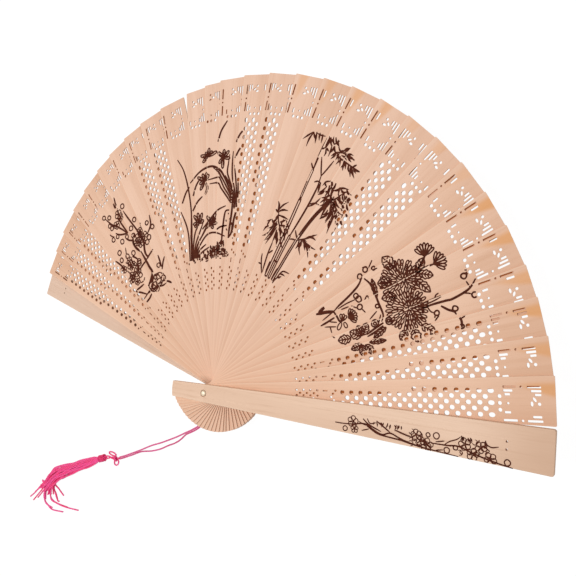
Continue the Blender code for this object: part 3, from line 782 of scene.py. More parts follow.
def make_rivet():
    """A turned rivet: flush back head, shank through the stack, low dome with a rolled rim at the front."""
    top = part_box("pivot_rivet")[1].z
    head, shank = RIVET_HEAD, RIVET_SHANK
    rim = top - FRONT_DOME
    front = rim - FRONT_RIM
    profile = [(0.0, 0.0), (head - 0.1 * MM, 0.0), (head, 0.1 * MM), (head, BACK_HEAD), (shank, BACK_HEAD)]
    profile += [(shank, front), (head, front), (head, front + 0.38 * MM), (head - 0.06 * MM, rim)]
    for step in range(1, 9):
        turn = math.pi / 2 * step / 9
        profile.append((0.94 * head * math.cos(turn), rim + FRONT_DOME * math.sin(turn)))
    profile.append((0.0, top))
    shape = bmesh.new()
    corners = [shape.verts.new((radius, 0.0, level)) for radius, level in profile]
    lines = [shape.edges.new(pair) for pair in zip(corners, corners[1:])]
    bmesh.ops.spin(shape, geom=corners + lines, axis=(0, 0, 1), cent=(0, 0, 0), steps=48, angle=2 * math.pi)
    bmesh.ops.remove_doubles(shape, verts=shape.verts, dist=WELD)
    bmesh.ops.recalc_face_normals(shape, faces=shape.faces)
    mesh = mesh_of("domed_rivet", shape, BRASS, sharp_deg=50)
    place(shown(mesh.name, mesh), "back_guard", "brass", "pivot_rivet")


# Cord and tassel

def laid_cord_tree():
    """Lines become twisted plies that turn round them."""
    sockets = {"Plies": "Int", "Ply Radius": "Float", "Ply Offset": "Float", "Lay": "Float", "Step": "Float"}
    tree, given, result = new_tree("laid_cord", sockets | {"Sides": "Int", "Thread": "Material"})
    line = add_node(tree, "GeometryNodeMeshToCurve", {"Mesh": given["Geometry"]})
    evenly = {"Curve": line.outputs[0], "Length": given["Step"]}
    even = add_node(tree, "GeometryNodeResampleCurve", evenly, mode="LENGTH")
    plies = add_node(tree, "GeometryNodeDuplicateElements", {"Geometry": even.outputs[0]}, domain="SPLINE")
    tree.links.new(given["Plies"], plies.inputs["Amount"])
    length = add_node(tree, "GeometryNodeSplineParameter").outputs["Length"]
    phase = math_of(tree, "DIVIDE", plies.outputs["Duplicate Index"], given["Plies"])
    turns = math_of(tree, "ADD", math_of(tree, "DIVIDE", length, given["Lay"]), phase)
    angle = math_of(tree, "MULTIPLY", turns, 2 * math.pi)
    normal = add_node(tree, "GeometryNodeInputNormal").outputs[0]
    tangent = add_node(tree, "GeometryNodeInputTangent").outputs[0]
    sideways = add_node(tree, "ShaderNodeVectorMath", {0: tangent, 1: normal}, operation="CROSS_PRODUCT")
    shares = []
    for direction, wave in ((normal, "COSINE"), (sideways.outputs[0], "SINE")):
        amount = math_of(tree, "MULTIPLY", math_of(tree, wave, angle), given["Ply Offset"])
        part = add_node(tree, "ShaderNodeVectorMath", {0: direction, "Scale": amount}, operation="SCALE")
        shares.append(part.outputs[0])
    offset = add_node(tree, "ShaderNodeVectorMath", {0: shares[0], 1: shares[1]}, operation="ADD")
    wind = {"Geometry": plies.outputs[0], "Offset": offset.outputs[0]}
    wound = add_node(tree, "GeometryNodeSetPosition", wind)
    profile = add_node(tree, "GeometryNodeCurvePrimitiveCircle", {"Resolution": given["Sides"]})
    tree.links.new(given["Ply Radius"], profile.inputs["Radius"])
    solid = add_node(tree, "GeometryNodeCurveToMesh", {"Curve": wound.outputs[0], "Fill Caps": True})
    tree.links.new(profile.outputs[0], solid.inputs["Profile Curve"])
    real = add_node(tree, "GeometryNodeRealizeInstances", {"Geometry": solid.outputs[0]})
    dye = {"Geometry": real.outputs[0], "Material": given["Thread"]}
    dyed = add_node(tree, "GeometryNodeSetMaterial", dye)
    smooth = add_node(tree, "GeometryNodeSetShadeSmooth", {"Geometry": dyed.outputs[0]})
    tree.links.new(smooth.outputs[0], result)
    return tree


LAID_CORD = laid_cord_tree()


def smooth_route(points, spacing):
    """Evenly spaced points on a smooth curve through a route's own points."""
    ends = [points[0] * 2 - points[1], *points, points[-1] * 2 - points[-2]]
    fine = []
    for before, start, end, after in zip(ends, ends[1:], ends[2:], ends[3:]):
        for step in range(20):
            t = step / 20
            bend = (before * 2 - start * 5 + end * 4 - after) * t * t
            twist = (start * 3 - before - end * 3 + after) * t * t * t
            fine.append((start * 2 + (end - before) * t + bend + twist) / 2)
    fine.append(points[-1])
    lengths = [0.0]
    for first, second in zip(fine, fine[1:]):
        lengths.append(lengths[-1] + (second - first).length)
    count = max(2, round(lengths[-1] / spacing))
    spaced = []
    at = 0
    for step in range(count + 1):
        want = lengths[-1] * step / count
        while at < len(fine) - 2 and lengths[at + 1] < want:
            at += 1
        gap = lengths[at + 1] - lengths[at]
        spaced.append(fine[at].lerp(fine[at + 1], (want - lengths[at]) / gap if gap else 0.0))
    return spaced


def line_base(name, lines):
    """Several lines as loose edges, each with a tone of its own. A closed line repeats its first point."""
    points = []
    edges = []
    tones = []
    for line in lines:
        first = len(points)
        closed = (line[0] - line[-1]).length < 0.01 * MM
        kept = line[:-1] if closed else line
        points += [tuple(point) for point in kept]
        edges += [(first + k, first + k + 1) for k in range(len(kept) - 1)]
        if closed:
            edges.append((first + len(kept) - 1, first))
        tones += [draws.random()] * len(kept)
    base = bpy.data.meshes.new(name)
    base.from_pydata(points, edges, [])
    store(base, "tone", tones)
    return base


def twisted(name, lines, width, plies, lay, step=0.55 * MM, sides=7, thread=PINK):
    """Lines laid up from twisted plies, as one mesh."""
    ply = width / 2 * (0.56 if plies == 2 else 0.5)
    values = {"Plies": plies, "Ply Radius": ply, "Ply Offset": width / 2 - ply, "Lay": lay, "Step": step}
    values |= {"Sides": sides, "Thread": thread}
    return grown(name, line_base(name, lines), LAID_CORD, values)


def on_table(route, level):
    """Route points in millimetres as points in metres at one level."""
    return [Vector((x * MM, y * MM, level)) for x, y in route]


def strand_line(route):
    """A strand of the doubled cord: level out of the fan, then down to the table."""
    points = []
    for index, (x, y) in enumerate(route):
        fall = min(1.0, max(0.0, (index - 1) / (DROP_POINTS - 1)))
        ease = fall * fall * (3 - 2 * fall)
        points.append(Vector((x * MM, y * MM, HITCH_LEVEL + (TABLE_CORD - HITCH_LEVEL) * ease)))
    return smooth_route(points, 0.8 * MM)


def make_hitch():
    """The cord's turn round the rivet."""
    turns = [2 * math.pi * step / 40 for step in range(41)]
    ring = [Vector((HITCH_RADIUS * math.cos(a), HITCH_RADIUS * math.sin(a), HITCH_LEVEL)) for a in turns]
    hitch = twisted("hitch_turn", [ring], CORD, CORD_PLIES, CORD_LAY, step=0.4 * MM)
    place(hitch, "back_guard", "pink_cord", "cord_hitch")


def make_bow():
    """The gathering knot: two strands in, two small loops and a turn of thread round the middle."""
    lines = []
    for start, side in ((LEFT_STRAND[-1], 1), (RIGHT_STRAND[-1], -1)):
        across = WRAP_ACROSS * side
        points = on_table([start], TABLE_CORD)
        points += [Vector(spot) * MM + across * aside * MM for spot, aside in BOW_ROUTE]
        points.append(WRAP_START + across * 0.7 * MM)
        lines.append(smooth_route(points, 0.5 * MM))
    for (x, y), long, wide, turn_deg in BOW_LOOPS:
        turn = Matrix.Rotation(math.radians(turn_deg), 3, "Z")
        ring = []
        for step in range(33):
            a = 2 * math.pi * step / 32
            level = 0.95 * MM + 0.35 * MM * math.cos(a + turn_deg)
            ring.append(turn @ Vector((long * MM * math.cos(a), wide * MM * math.sin(a), 0)))
            ring[-1] += Vector((x * MM, y * MM, level))
        lines.append(ring)
    coil = []
    for step in range(2 * COIL_STEPS + 1):
        a = 2 * math.pi * step / COIL_STEPS
        along = BOW_COIL + WRAP_ALONG * 1.0 * MM * step / COIL_STEPS
        rise = Vector((0, 0, 1.05 * MM * math.sin(a)))
        coil.append(along + WRAP_ACROSS * 1.35 * MM * math.cos(a) + rise)
    lines.append(coil)
    bow = twisted("bow_knot", lines, BOW_THREAD, 2, 2.6 * MM, step=0.35 * MM)
    return place(bow, "back_guard", "pink_cord", "cord_bow")


def make_wrap():
    """Thread wound round the tassel's neck, with a short tucked end."""
    heading, across, up = WRAP_ALONG, WRAP_ACROSS, Vector((0, 0, 1))
    start = WRAP_START + heading * WRAP_THREAD / 2
    coil = []
    for step in range(WRAP_TURNS * 24 + 1):
        turns = step / 24
        a = 2 * math.pi * turns
        uneven = 1 + 0.05 * math.sin(2.7 * a)
        outward = (across * math.cos(a) + up * math.sin(a)) * WRAP_RADIUS * uneven
        coil.append(start + heading * WRAP_PITCH * turns + outward)
    end = [coil[-1], coil[-1] + heading * 0.8 * MM + up * 0.5 * MM - across * 1.2 * MM]
    end.append(end[-1] + heading * 1.3 * MM - across * 1.6 * MM - up * 0.2 * MM)
    lines = [coil, smooth_route(end, 0.4 * MM)]
    wrap = twisted("neck_wrap", lines, WRAP_THREAD, 2, 2.2 * MM, step=0.4 * MM)
    return place(wrap, "back_guard", "pink_cord", "tassel_wrap")


def skirt_rings():
    """The bundle's middle, sideways direction, half width and half height, from the neck to the ends."""
    rings = [(WRAP_START + WRAP_ALONG * along * MM, NECK / 2, NECK / 2) for along in (0.0, 6.5)]
    for (x, y), wide, high in SKIRT_RINGS:
        rings.append((Vector((x, y, high + 0.1)) * MM, wide * MM, high * MM))
    made = []
    for index, (centre, wide, high) in enumerate(rings):
        along = rings[min(index + 1, len(rings) - 1)][0] - rings[max(index - 1, 0)][0]
        made.append((centre, Vector((-along.y, along.x, 0)).normalized(), wide, high))
    return made


def make_skirt():
    """Many loose twisted strands from the neck, bending together and splaying at their ends."""
    rings = skirt_rings()
    lines = []
    inner = 1 - STRAND_WIDTH / (2 * 2.0 * MM)  # keeps a strand's own width inside the bundle

    def in_bundle(side, lift, upto):
        points = []
        for centre, across, wide, high in rings[:upto]:
            sway = draws.uniform(-0.14, 0.14)
            rise = Vector((0, 0, high * lift * inner))
            points.append(centre + across * wide * (side + sway) * inner + rise)
        return points

    for k in range(SKIRT_STRANDS):
        reach = math.sqrt((k + 0.5) / SKIRT_STRANDS)
        turn = k * math.pi * (3 - math.sqrt(5))
        side = reach * math.cos(turn)
        lift = reach * math.sin(turn)
        points = in_bundle(side, lift, draws.choice((10, 11, 11, 12)))
        along = (points[-1] - points[-2]).normalized()
        flick = Vector((-along.y, along.x, 0)) * (side * 1.1 + draws.uniform(-0.5, 0.5))
        tip = points[-1] + (along + flick) * draws.uniform(2.0, 6.0) * MM
        tip.z = max(STRAND_WIDTH / 2 + 0.05 * MM, min(points[-1].z, 1.6 * MM))
        lines.append(smooth_route([*points, tip], 1.2 * MM))
    for route in STRAND_ENDS:
        for twin in range(2):
            points = in_bundle(draws.uniform(-0.7, 0.7), draws.uniform(-0.8, 0.2), SHARED_RINGS)
            spread_out = 0.0
            for x, y in route[: len(route) - twin]:
                offset = Vector((draws.uniform(-1, 1), draws.uniform(-1, 1), 0)) * (0.4 + spread_out) * MM
                points.append(Vector((x * MM, y * MM, STRAND_WIDTH / 2 + 0.1 * MM)) + offset)
                spread_out += 0.25
            lines.append(smooth_route(points, 1.2 * MM))
    skirt = twisted("tassel_strands", lines, STRAND_WIDTH, 3, 4.2 * MM, step=0.6 * MM, sides=6)
    return place(skirt, "back_guard", "pink_cord", "tassel_skirt")


def make_cords():
    """The doubled cord with its bow and wrap, and the tassel."""
    make_hitch()
    bow = make_bow()
    wrap = make_wrap()
    make_skirt()
    for side, route, pieces in (("left", LEFT_STRAND, [bow, wrap]), ("right", RIGHT_STRAND, [])):
        line = strand_line(route)
        strand = twisted(f"twisted_strand_{side}", [line], CORD, CORD_PLIES, CORD_LAY, thread=CORD_PINK)
        place(strand, "back_guard", "pink_cord", f"cord_strand_{side}")


# Burnt pictures: four plants on the blades and a flowering branch on the front guard

class Picture:
    """Strokes as seen on the open fan, in millimetres to the right of a heading and outwards along it."""

    def __init__(self, heading_deg, level):
        turn = math.radians(heading_deg)
        self.level = Vector((0.0, 0.0, level * MM))
        self.right = Vector((math.sin(turn), -math.cos(turn), 0.0)) * MM
        self.out = Vector((math.cos(turn), math.sin(turn), 0.0)) * MM
        self.strokes = []

    def line(self, points, wide=0.6, ends=(0.7, 0.5), taper=0.25):
        """A stroke through points, narrowed to a share of its width at either end."""
        spots = [self.right * u + self.out * v + self.level for u, v in points]
        self.strokes.append((smooth_route(spots, LINE_STEP), wide * LINE_WEIGHT * MM, ends, taper))

    def lines(self, strokes, wide=0.6, ends=(0.7, 0.5)):
        for points in strokes:
            self.line(points, wide, ends)

    def leaf(self, start, end, wide=1.0, bend=0.08):
        """A solid tapered leaf, bowed to one side by a share of its length."""
        (u, v), (tip_u, tip_v) = start, end
        middle = ((u + tip_u) / 2 - (tip_v - v) * bend, (v + tip_v) / 2 + (tip_u - u) * bend)
        self.line([start, middle, end], wide, (0.5, 0.2), 0.45)

    def leaves(self, pairs, wide=1.0):
        for start, end in pairs:
            self.leaf(start, end, wide * draws.uniform(0.85, 1.15), draws.uniform(-0.14, 0.14))

    def foliage(self, rows, length, wide):
        """Rows of short bowed leaves that hang and fan out from left to right."""
        for v, low, high in rows:
            count = max(1, round((high - low) / 2.6))
            for step in range(count + 1):
                share = step / count
                foot = (low + (high - low) * share + draws.uniform(-0.7, 0.7), v + draws.uniform(-0.8, 0.8))
                a = math.radians(-125 + 95 * share + draws.uniform(-16, 16))
                reach = length * draws.uniform(0.8, 1.2)
                tip = (foot[0] + reach * math.cos(a), foot[1] + reach * math.sin(a))
                self.leaf(foot, tip, wide * draws.uniform(0.85, 1.15), draws.uniform(-0.2, 0.2))

    def ring(self, u, v, radius, wide=0.5):
        """A round bud or berry, drawn freehand."""
        start = draws.uniform(0, 2 * math.pi)
        points = []
        for step in range(10):
            a = start + 2 * math.pi * step / 9
            reach = radius * draws.uniform(0.92, 1.08)
            points.append((u + reach * math.cos(a), v + reach * math.sin(a)))
        self.line(points, wide, (0.9, 0.9))

    def petal(self, u, v, heading, length, across, wide=0.42):
        """An outlined petal from its foot, along a heading in radians from the right."""
        points = []
        for step in range(9):
            a = 2 * math.pi * step / 8
            along = length * (1 - math.cos(a)) / 2
            aside = across / 2 * math.sin(a) * (0.75 + 0.25 * along / length)
            points.append((u + along * math.cos(heading) - aside * math.sin(heading),
                           v + along * math.sin(heading) + aside * math.cos(heading)))
        self.line(points, wide, (0.9, 0.9))

    def blossom(self, u, v, radius, wide=0.45):
        """Five round petals about a dotted middle."""
        start = draws.uniform(0, 2 * math.pi)
        for step in range(5):
            a = start + 2 * math.pi * step / 5
            self.ring(u + 0.6 * radius * math.cos(a), v + 0.6 * radius * math.sin(a), 0.42 * radius, wide)
        self.line([(u - 0.25, v), (u, v + 0.2), (u + 0.25, v)], 0.6, (1, 1))

    def broad_leaf(self, start, end, across, wide=0.5):
        """An outlined leaf with a midrib and side veins."""
        (u, v), (tip_u, tip_v) = start, end
        along = Vector((tip_u - u, tip_v - v))
        aside = Vector((-along.y, along.x)).normalized() * across / 2
        foot = Vector(start)
        self.line([start, end], wide, (1, 0.4))
        for side in (-1, 1):
            edge = [(0.0, 0.0), (0.22, 0.75), (0.36, 0.7), (0.5, 1.0), (0.62, 0.75), (0.76, 0.7), (1.0, 0.0)]
            self.line([tuple(foot + along * t + aside * side * w) for t, w in edge], wide, (0.9, 0.9))
            for t in (0.2, 0.4, 0.6):
                vein = [foot + along * t, foot + along * (t + 0.16) + aside * side * 0.62]
                self.line([tuple(point) for point in vein], wide * 0.9, (1, 0.5))

    def head(self, core, middle, radius, hidden_by=None):
        """A full flower head: rings of narrow petals that open out from its core."""
        for ring, (share, count) in enumerate(HEAD_RINGS):
            centre = Vector(core).lerp(Vector(middle), share)
            across = 0.72 * 2 * math.pi * radius * (share + 0.14) / count
            for step in range(count):
                a = 2 * math.pi * (step + 0.5 * (ring % 2)) / count + draws.uniform(-0.05, 0.05)
                aim = Vector((math.cos(a), math.sin(a)))
                foot = centre + aim * radius * share
                length = radius * draws.uniform(0.28, 0.36)
                tip = foot + aim * length
                gaps = [(spot - Vector(hidden_by[0])).length for spot in (foot, tip)] if hidden_by else []
                if gaps and min(gaps) < hidden_by[1]:
                    continue
                self.petal(*foot, a, length, across, 0.54)
        self.line([(core[0] - 0.5, core[1]), core, (core[0] + 0.5, core[1])], 0.8, (1, 1))

    def bud(self, u, v, heading_deg, size):
        """A half-opened flower: a dark cup and narrow petals out of it."""
        cup = Vector((u, v))
        for step in range(7):
            a = math.radians(heading_deg + (step - 3) * 17)
            aim = Vector((math.cos(a), math.sin(a))) * size * (1 - 0.03 * abs(step - 3))
            self.petal(*(cup + aim * 0.25), a, 0.75 * aim.length, 1.4, 0.58)
            self.line([(u, v), tuple(cup + aim * 0.3)], 0.6, (1, 0.6))

    def culm(self, points, apart, wide):
        """A bamboo stem: two side lines and a bar at each node."""
        sides = {-1: [], 1: []}
        for index, point in enumerate(points):
            along = Vector(points[min(index + 1, len(points) - 1)]) - Vector(points[max(index - 1, 0)])
            aside = Vector((-along.y, along.x)).normalized() * apart / 2
            for side, edge in sides.items():
                edge.append(tuple(Vector(point) + aside * side))
        for edge in sides.values():
            self.line(edge, wide, (0.9, 0.9))
        for first, second in ((sides[-1][0], sides[1][0]), (sides[-1][-1], sides[1][-1])):
            self.line([first, second], 0.8, (1, 1))


def draw_bamboo():
    art = Picture(71.5, 17.0)
    art.culm([(-3.9, 71), (-4.3, 82), (-5.1, 98), (-6.0, 114.5)], 1.3, 0.65)
    art.culm([(-6.2, 115.6), (-6.7, 123), (-7.1, 131)], 0.9, 0.5)
    art.culm([(-1.7, 71), (-1.9, 84), (-1.8, 96)], 1.1, 0.6)
    art.culm([(0.9, 71), (1.5, 80), (2.1, 88), (2.9, 96)], 1.0, 0.65)
    art.culm([(3.2, 97), (4.6, 105), (6.4, 112), (8.6, 118)], 1.0, 0.85)
    art.lines([
        [(-7.0, 131), (-7.5, 137), (-7.8, 142), (-7.8, 148)], [(-6.4, 143.4), (-6.6, 148.8)],
        [(-1.7, 96), (-0.8, 105), (-0.1, 115), (-0.1, 124), (-1.1, 130)],
        [(-5.4, 79), (-5.1, 75), (-4.8, 72)],
        [(-3.5, 80.6), (-1.3, 80.5)], [(-7.2, 115), (-5.2, 115)], [(0.2, 71), (0.5, 78)],
    ], 0.95)
    art.lines([
        [(-7.0, 131), (-8.2, 132), (-9.7, 133.5)], [(-1.1, 130), (-3.4, 134), (-5.8, 138.5)],
        [(-1.1, 130), (0.3, 134.5), (1.6, 139.5)], [(0.1, 113.5), (2.5, 116), (4.6, 120.5)],
        [(0.2, 115), (3, 116.8), (5.5, 117)], [(3.2, 95.5), (0.8, 95.2), (-1, 94.3)],
        [(3.0, 96.5), (1, 98.5), (-0.2, 100)], [(-12, 80), (-10.9, 77.2), (-9, 74), (-6.9, 70.8)],
        [(-11.6, 74.8), (-9.6, 75)], [(-9.4, 88), (-8.9, 82), (-7.8, 76), (-6.8, 71.5)],
        [(-8.6, 82), (-7, 84.6)], [(0, 143.5), (5, 145), (11.8, 144.4)],
        [(1.5, 142.5), (7, 141.6), (12.5, 140.9), (17.2, 140.7)],
        [(8.6, 118), (9.6, 122), (8.6, 126), (6.2, 129)],
        [(9.4, 121), (12.5, 124), (14.5, 127.5)], [(9.6, 122), (14, 120.5), (17, 117)],
        [(-6.3, 95), (-9.5, 97), (-12.5, 100), (-14.5, 104)], [(3.4, 96), (6.2, 98), (9.6, 100.6)],
        [(2.6, 73.4), (3.4, 76.6), (4.6, 78.4), (8.2, 79)], [(-3.1, 125.8), (-1.4, 127), (0.6, 126.9)],
    ], 0.75)
    # Top sprays
    art.leaves([
        ((-9.2, 148.2), (-15.2, 147.8)), ((-11.2, 148.6), (-9.8, 144.2)), ((-13, 148.6), (-11.6, 145)),
        ((-15, 148.3), (-13, 142.8)), ((-16.6, 147.6), (-17, 139.4)), ((-16.8, 147.6), (-13.6, 144.4)),
        ((-17, 147.4), (-20.9, 142)), ((-6, 143.5), (-7.3, 149.2)), ((-6, 143.5), (-8.2, 140.2)),
        ((-5.6, 143.5), (-3.4, 142.4)), ((-5.8, 143), (-4.8, 139.2)), ((-6.8, 148.5), (-3.3, 147)),
        ((-2.4, 146.5), (-4.8, 150)), ((-2.4, 146.5), (-0.4, 149.4)), ((-2, 146), (-2.8, 141.5)),
        ((-1.8, 146), (0.6, 143.2)), ((-3.5, 150), (0.5, 146.8)), ((1, 143.8), (-1.2, 141)),
        ((1, 143.8), (3.8, 140.4)), ((0.8, 144), (-0.6, 139.6)), ((4.6, 144.8), (6.9, 148.8)),
        ((6.2, 144.9), (10.2, 146)), ((7.5, 144.9), (12, 144)), ((5.5, 141.8), (3.4, 138.4)),
        ((6.8, 141.6), (8.5, 137.3)), ((8, 141.4), (6.8, 138.2)), ((11.4, 141), (13.9, 136.3)),
        ((12, 141), (16.2, 136.6)), ((12.6, 141), (14.2, 143)), ((13, 141), (17.4, 140.4)),
        ((-1.5, 149.5), (1, 146.4)), ((-3.5, 146), (-2.5, 140)), ((2, 145), (5, 146.5)),
        ((4, 145.5), (6.8, 148.5)), ((5, 145), (11.5, 144.5)), ((4, 143.5), (8, 142.5)),
        ((3.5, 143), (6, 138.5)),
        ((7, 141.8), (9.5, 138.5)), ((10, 141), (12, 138)), ((12, 140.8), (15.5, 137)),
        ((13, 141), (16, 139)),
        ((6, 144.2), (9, 146)), ((7.5, 144.3), (10.8, 142.8)), ((-6, 149), (-3, 145)),
        ((0.4, 146.6), (3.6, 144.6)), ((2.4, 144.2), (2.2, 140.2)),
    ], 0.95)
    # Large spray at the right
    art.leaves([
        ((7.5, 128.5), (4.8, 130.2)), ((6, 128.2), (8.6, 123)), ((5.6, 128), (6.4, 122.2)),
        ((8.6, 126.5), (12.6, 128.6)), ((10, 127.4), (16.6, 130.8)), ((13.2, 128), (16.4, 129.6)),
        ((12.5, 129), (16.4, 126.4)), ((14.5, 127.5), (17.5, 124.4)), ((16.6, 127.4), (21.2, 126.2)),
        ((17, 127), (20.6, 123.4)), ((13, 125), (18.4, 123.9)), ((13, 124), (19.8, 121.4)),
        ((12.4, 123.4), (17.5, 120.6)), ((13.5, 121), (19.7, 118.3)), ((9.6, 122), (5.4, 118.2)),
        ((9, 121), (6.5, 117.2)), ((8.6, 124), (4.6, 120.6)), ((7.6, 125.4), (2.2, 122.4)),
        ((9.6, 122.6), (10.2, 116.8)), ((10.6, 122), (12.8, 117.2)), ((10, 120), (9.6, 111.4)),
        ((13, 119.8), (12.8, 111.6)), ((14.5, 118.6), (13.2, 110.8)), ((16, 117.4), (16.7, 106.8)),
        ((17, 117), (19.9, 110)), ((16.6, 117), (21.6, 115.4)), ((15, 118), (18.6, 113)),
        ((15, 118.5), (10.8, 113.4)), ((11, 124.4), (9.4, 119)), ((11.6, 123.4), (14.6, 116.6)),
        ((8.4, 126), (10.4, 121)), ((0.4, 127.2), (1.7, 121.8)), ((2.4, 128.5), (4.9, 126.7)),
    ], 1.0)
    rows = ((130, 6, 15), (127, 4, 18), (123.8, 5, 19), (120.6, 8, 20), (117.4, 9, 20), (114.4, 13, 19.5))
    art.foliage(rows, 4.6, 1.0)
    # Sprays at the left, lower right and foot
    art.leaves([
        ((-15, 103.5), (-11.4, 110.6)), ((-15, 103.5), (-17.6, 108.4)), ((-14.6, 103.4), (-9.4, 106.5)),
        ((-13.6, 102), (-6.8, 102.6)), ((-14.4, 103), (-17, 104)), ((-13.6, 102.4), (-13.6, 98)),
        ((-16.4, 98.6), (-11.8, 96.6)), ((-16.6, 98), (-16.8, 93)), ((-12.6, 98.8), (-16, 92.8)),
        ((-12.2, 98), (-14.6, 86.4)), ((-11.8, 97), (-12.4, 90)), ((-11.2, 96), (-13, 85.2)),
        ((-10.6, 95), (-9.6, 88)), ((-10.2, 97.6), (-5.6, 99.2)), ((-10, 97), (-5.2, 95.2)),
        ((-9.8, 96), (-6, 91.4)), ((-9.4, 94), (-6, 87)), ((-10.8, 99.2), (-8, 102)),
        ((-9, 92), (-6.4, 88.8)), ((8.8, 100), (12.4, 103.8)), ((9, 100.4), (13.4, 100.8)),
        ((7, 98.6), (10.8, 102.4)), ((5.2, 97), (8.8, 98)), ((4.4, 96.6), (4.8, 91.8)),
        ((5.6, 97), (8.9, 90.2)), ((6, 97), (6.6, 92.8)), ((6.4, 97.2), (13.6, 91.4)),
        ((6.8, 97.6), (15.4, 96.8)), ((8, 97), (12.8, 95)), ((7.4, 97), (10.2, 93.6)),
        ((3.2, 76), (6.6, 76.6)), ((2.6, 73.6), (4.8, 75.6)), ((1.8, 69.8), (3.4, 74.2)),
    ], 1.0)
    art.foliage(((101, -13, -7), (98.4, -16, -6), (95.4, -16, -6), (92, -14.5, -7)), 4.4, 0.95)
    return art


def draw_chrysanthemums():
    art = Picture(37.5, 21.2)
    front = ((6.4, 120.8), 9.6)
    art.head((6.8, 123.4), *front)
    art.head((-6.0, 126.0), (-6.6, 123.2), 9.6, front)
    for leaf in (
        ((-13, 124), (-20.3, 120.6), 6.0), ((-3.5, 131), (4.3, 134.6), 4.2),
        ((-6.4, 132.4), (-11, 138.2), 4.2),
        ((-5.8, 133), (-1.8, 138.8), 4.2), ((-8, 120), (-10.2, 113.4), 5.4),
        ((-1.4, 119.4), (-3, 112.4), 4.6),
        ((15.8, 124.6), (21.4, 129.2), 4.6), ((16, 120.6), (22, 120.2), 5.0),
        ((15.2, 117.4), (17.8, 112.8), 4.2),
        ((-4.4, 110.5), (-13.6, 111.8), 2.6), ((8.5, 97), (4, 101), 4.2), ((8.6, 96.4), (3.2, 96), 4.2),
        ((8.8, 95.4), (4.2, 91.2), 4.8), ((7.4, 90.6), (5.6, 83.8), 4.6), ((13, 96), (18.6, 98.8), 3.8),
        ((12.6, 95), (16.8, 92.4), 3.6), ((12.2, 94.6), (12.2, 88.4), 3.2),
        ((12.8, 98.4), (15.2, 106.6), 2.4),
        ((9.8, 109), (11.8, 101.2), 2.8),
    ):
        art.broad_leaf(*leaf, 0.62)
    art.petal(-1.6, 89, -0.9, 4.0, 2.0, 0.55)
    art.petal(-1, 90.4, 0.07, 2.9, 1.8, 0.55)
    art.bud(-11.2, 138.8, 158, 6.2)
    art.bud(-6.3, 141, 92, 6.2)
    art.bud(-2.0, 93.2, 92, 5.0)
    for heading in (1.9, 2.45, 3.0):
        art.petal(-2.2, 89.8, heading, 3.2, 1.5, 0.55)
    art.lines([
        [(-11.2, 138.8), (-8.8, 136.2), (-7.2, 132)], [(-6.3, 141), (-6.6, 137), (-6, 132)],
        [(9.2, 128), (9.6, 133), (10.6, 139), (11.2, 142), (10.8, 148), (9.8, 151.5), (7.2, 155.2)],
        [(11.8, 136.2), (14.6, 138.4), (16.4, 140.4), (18, 140.8)],
        [(19.4, 141.4), (21.4, 141.6), (24, 140.6)],
        [(-15.4, 108.4), (-12, 110), (-8, 110.4), (-2, 110.2), (4, 110), (6.6, 108)],
        [(-16.4, 107.6), (-13.6, 104), (-11.2, 97.6), (-9.4, 91), (-8, 87.4)],
        [(-8, 87.4), (-5, 88), (-2.4, 88.6), (-2.2, 91.8)], [(7.4, 108.6), (8, 104), (9, 98.6)],
        [(8.6, 108), (9.6, 103), (10, 98.6)], [(-5.2, 86.6), (-4.8, 82), (-4.6, 78)],
    ], 0.95)
    art.lines([
        [(7.2, 128), (7.4, 133), (7.6, 138)], [(8.2, 128), (8.4, 134), (8.2, 138)],
        [(6.2, 137.6), (6.6, 136), (7.6, 135.2)], [(11, 147.5), (12, 149.4), (12.9, 150.4)],
        [(9.2, 130.4), (12, 131), (13.4, 132.3)], [(14.4, 132.2), (15.4, 131.4)],
        [(15.2, 133.6), (16.6, 131)],
        [(20.4, 141.6), (20, 144.4)], [(9.6, 151), (6.8, 150.6)], [(5.4, 151.2), (3.4, 153)],
        [(2.2, 152), (3.2, 153.4), (3.8, 151)], [(3.4, 109), (7, 106)],
        [(-20.4, 109.6), (-20, 111.6), (-18.6, 111.8)],
        [(-8.4, 100), (-8.6, 95), (-8.2, 90)], [(-6.8, 95.6), (-7.2, 91.4)], [(-4.2, 99.4), (-6.6, 97)],
        [(-3, 101.4), (-0.6, 102.4)], [(-21.4, 115.6), (-18.8, 112.4)],
        [(-16.8, 116.4), (-17.2, 114), (-18.4, 113.6)],
        [(1.2, 107.8), (2.2, 105.4), (3.2, 103)], [(-8, 87), (-7.2, 83), (-6.6, 80)],
        [(-2.6, 86.8), (-4.4, 83.4)],
        [(-0.8, 85.6), (-2.2, 82.4), (-3.2, 79.8)], [(-2.4, 82.6), (1, 82.2)],
        [(2.4, 81.6), (3.8, 82.8)],
        [(-6, 104.2), (-7.4, 106.4), (-5.6, 106.6)],
    ], 0.6)
    art.lines([[(-8, 87.4), (-9.6, 83), (-10.8, 78)], [(-12, 83.6), (-11, 79.6)]], 1.5)
    for ring in (
        (13.6, 151.3, 1.15), (13.8, 133.2, 1.1), (15.4, 141.4, 1.15), (23.6, 140.8, 0.9),
        (4.4, 150.6, 1.2),
        (7.6, 111.4, 1.6), (7.6, 111.4, 0.7), (6, 104.6, 1.7), (6, 104.6, 0.7), (-0.8, 109, 0.9),
        (-17.2, 106.8, 1.2), (-18.9, 110.6, 1.2), (-7.8, 101.8, 1.4), (-9.8, 101.2, 1.2),
        (-4.2, 100.8, 1.3),
        (-17.6, 114.6, 0.9),
    ):
        art.ring(*ring, 0.7)
    return art


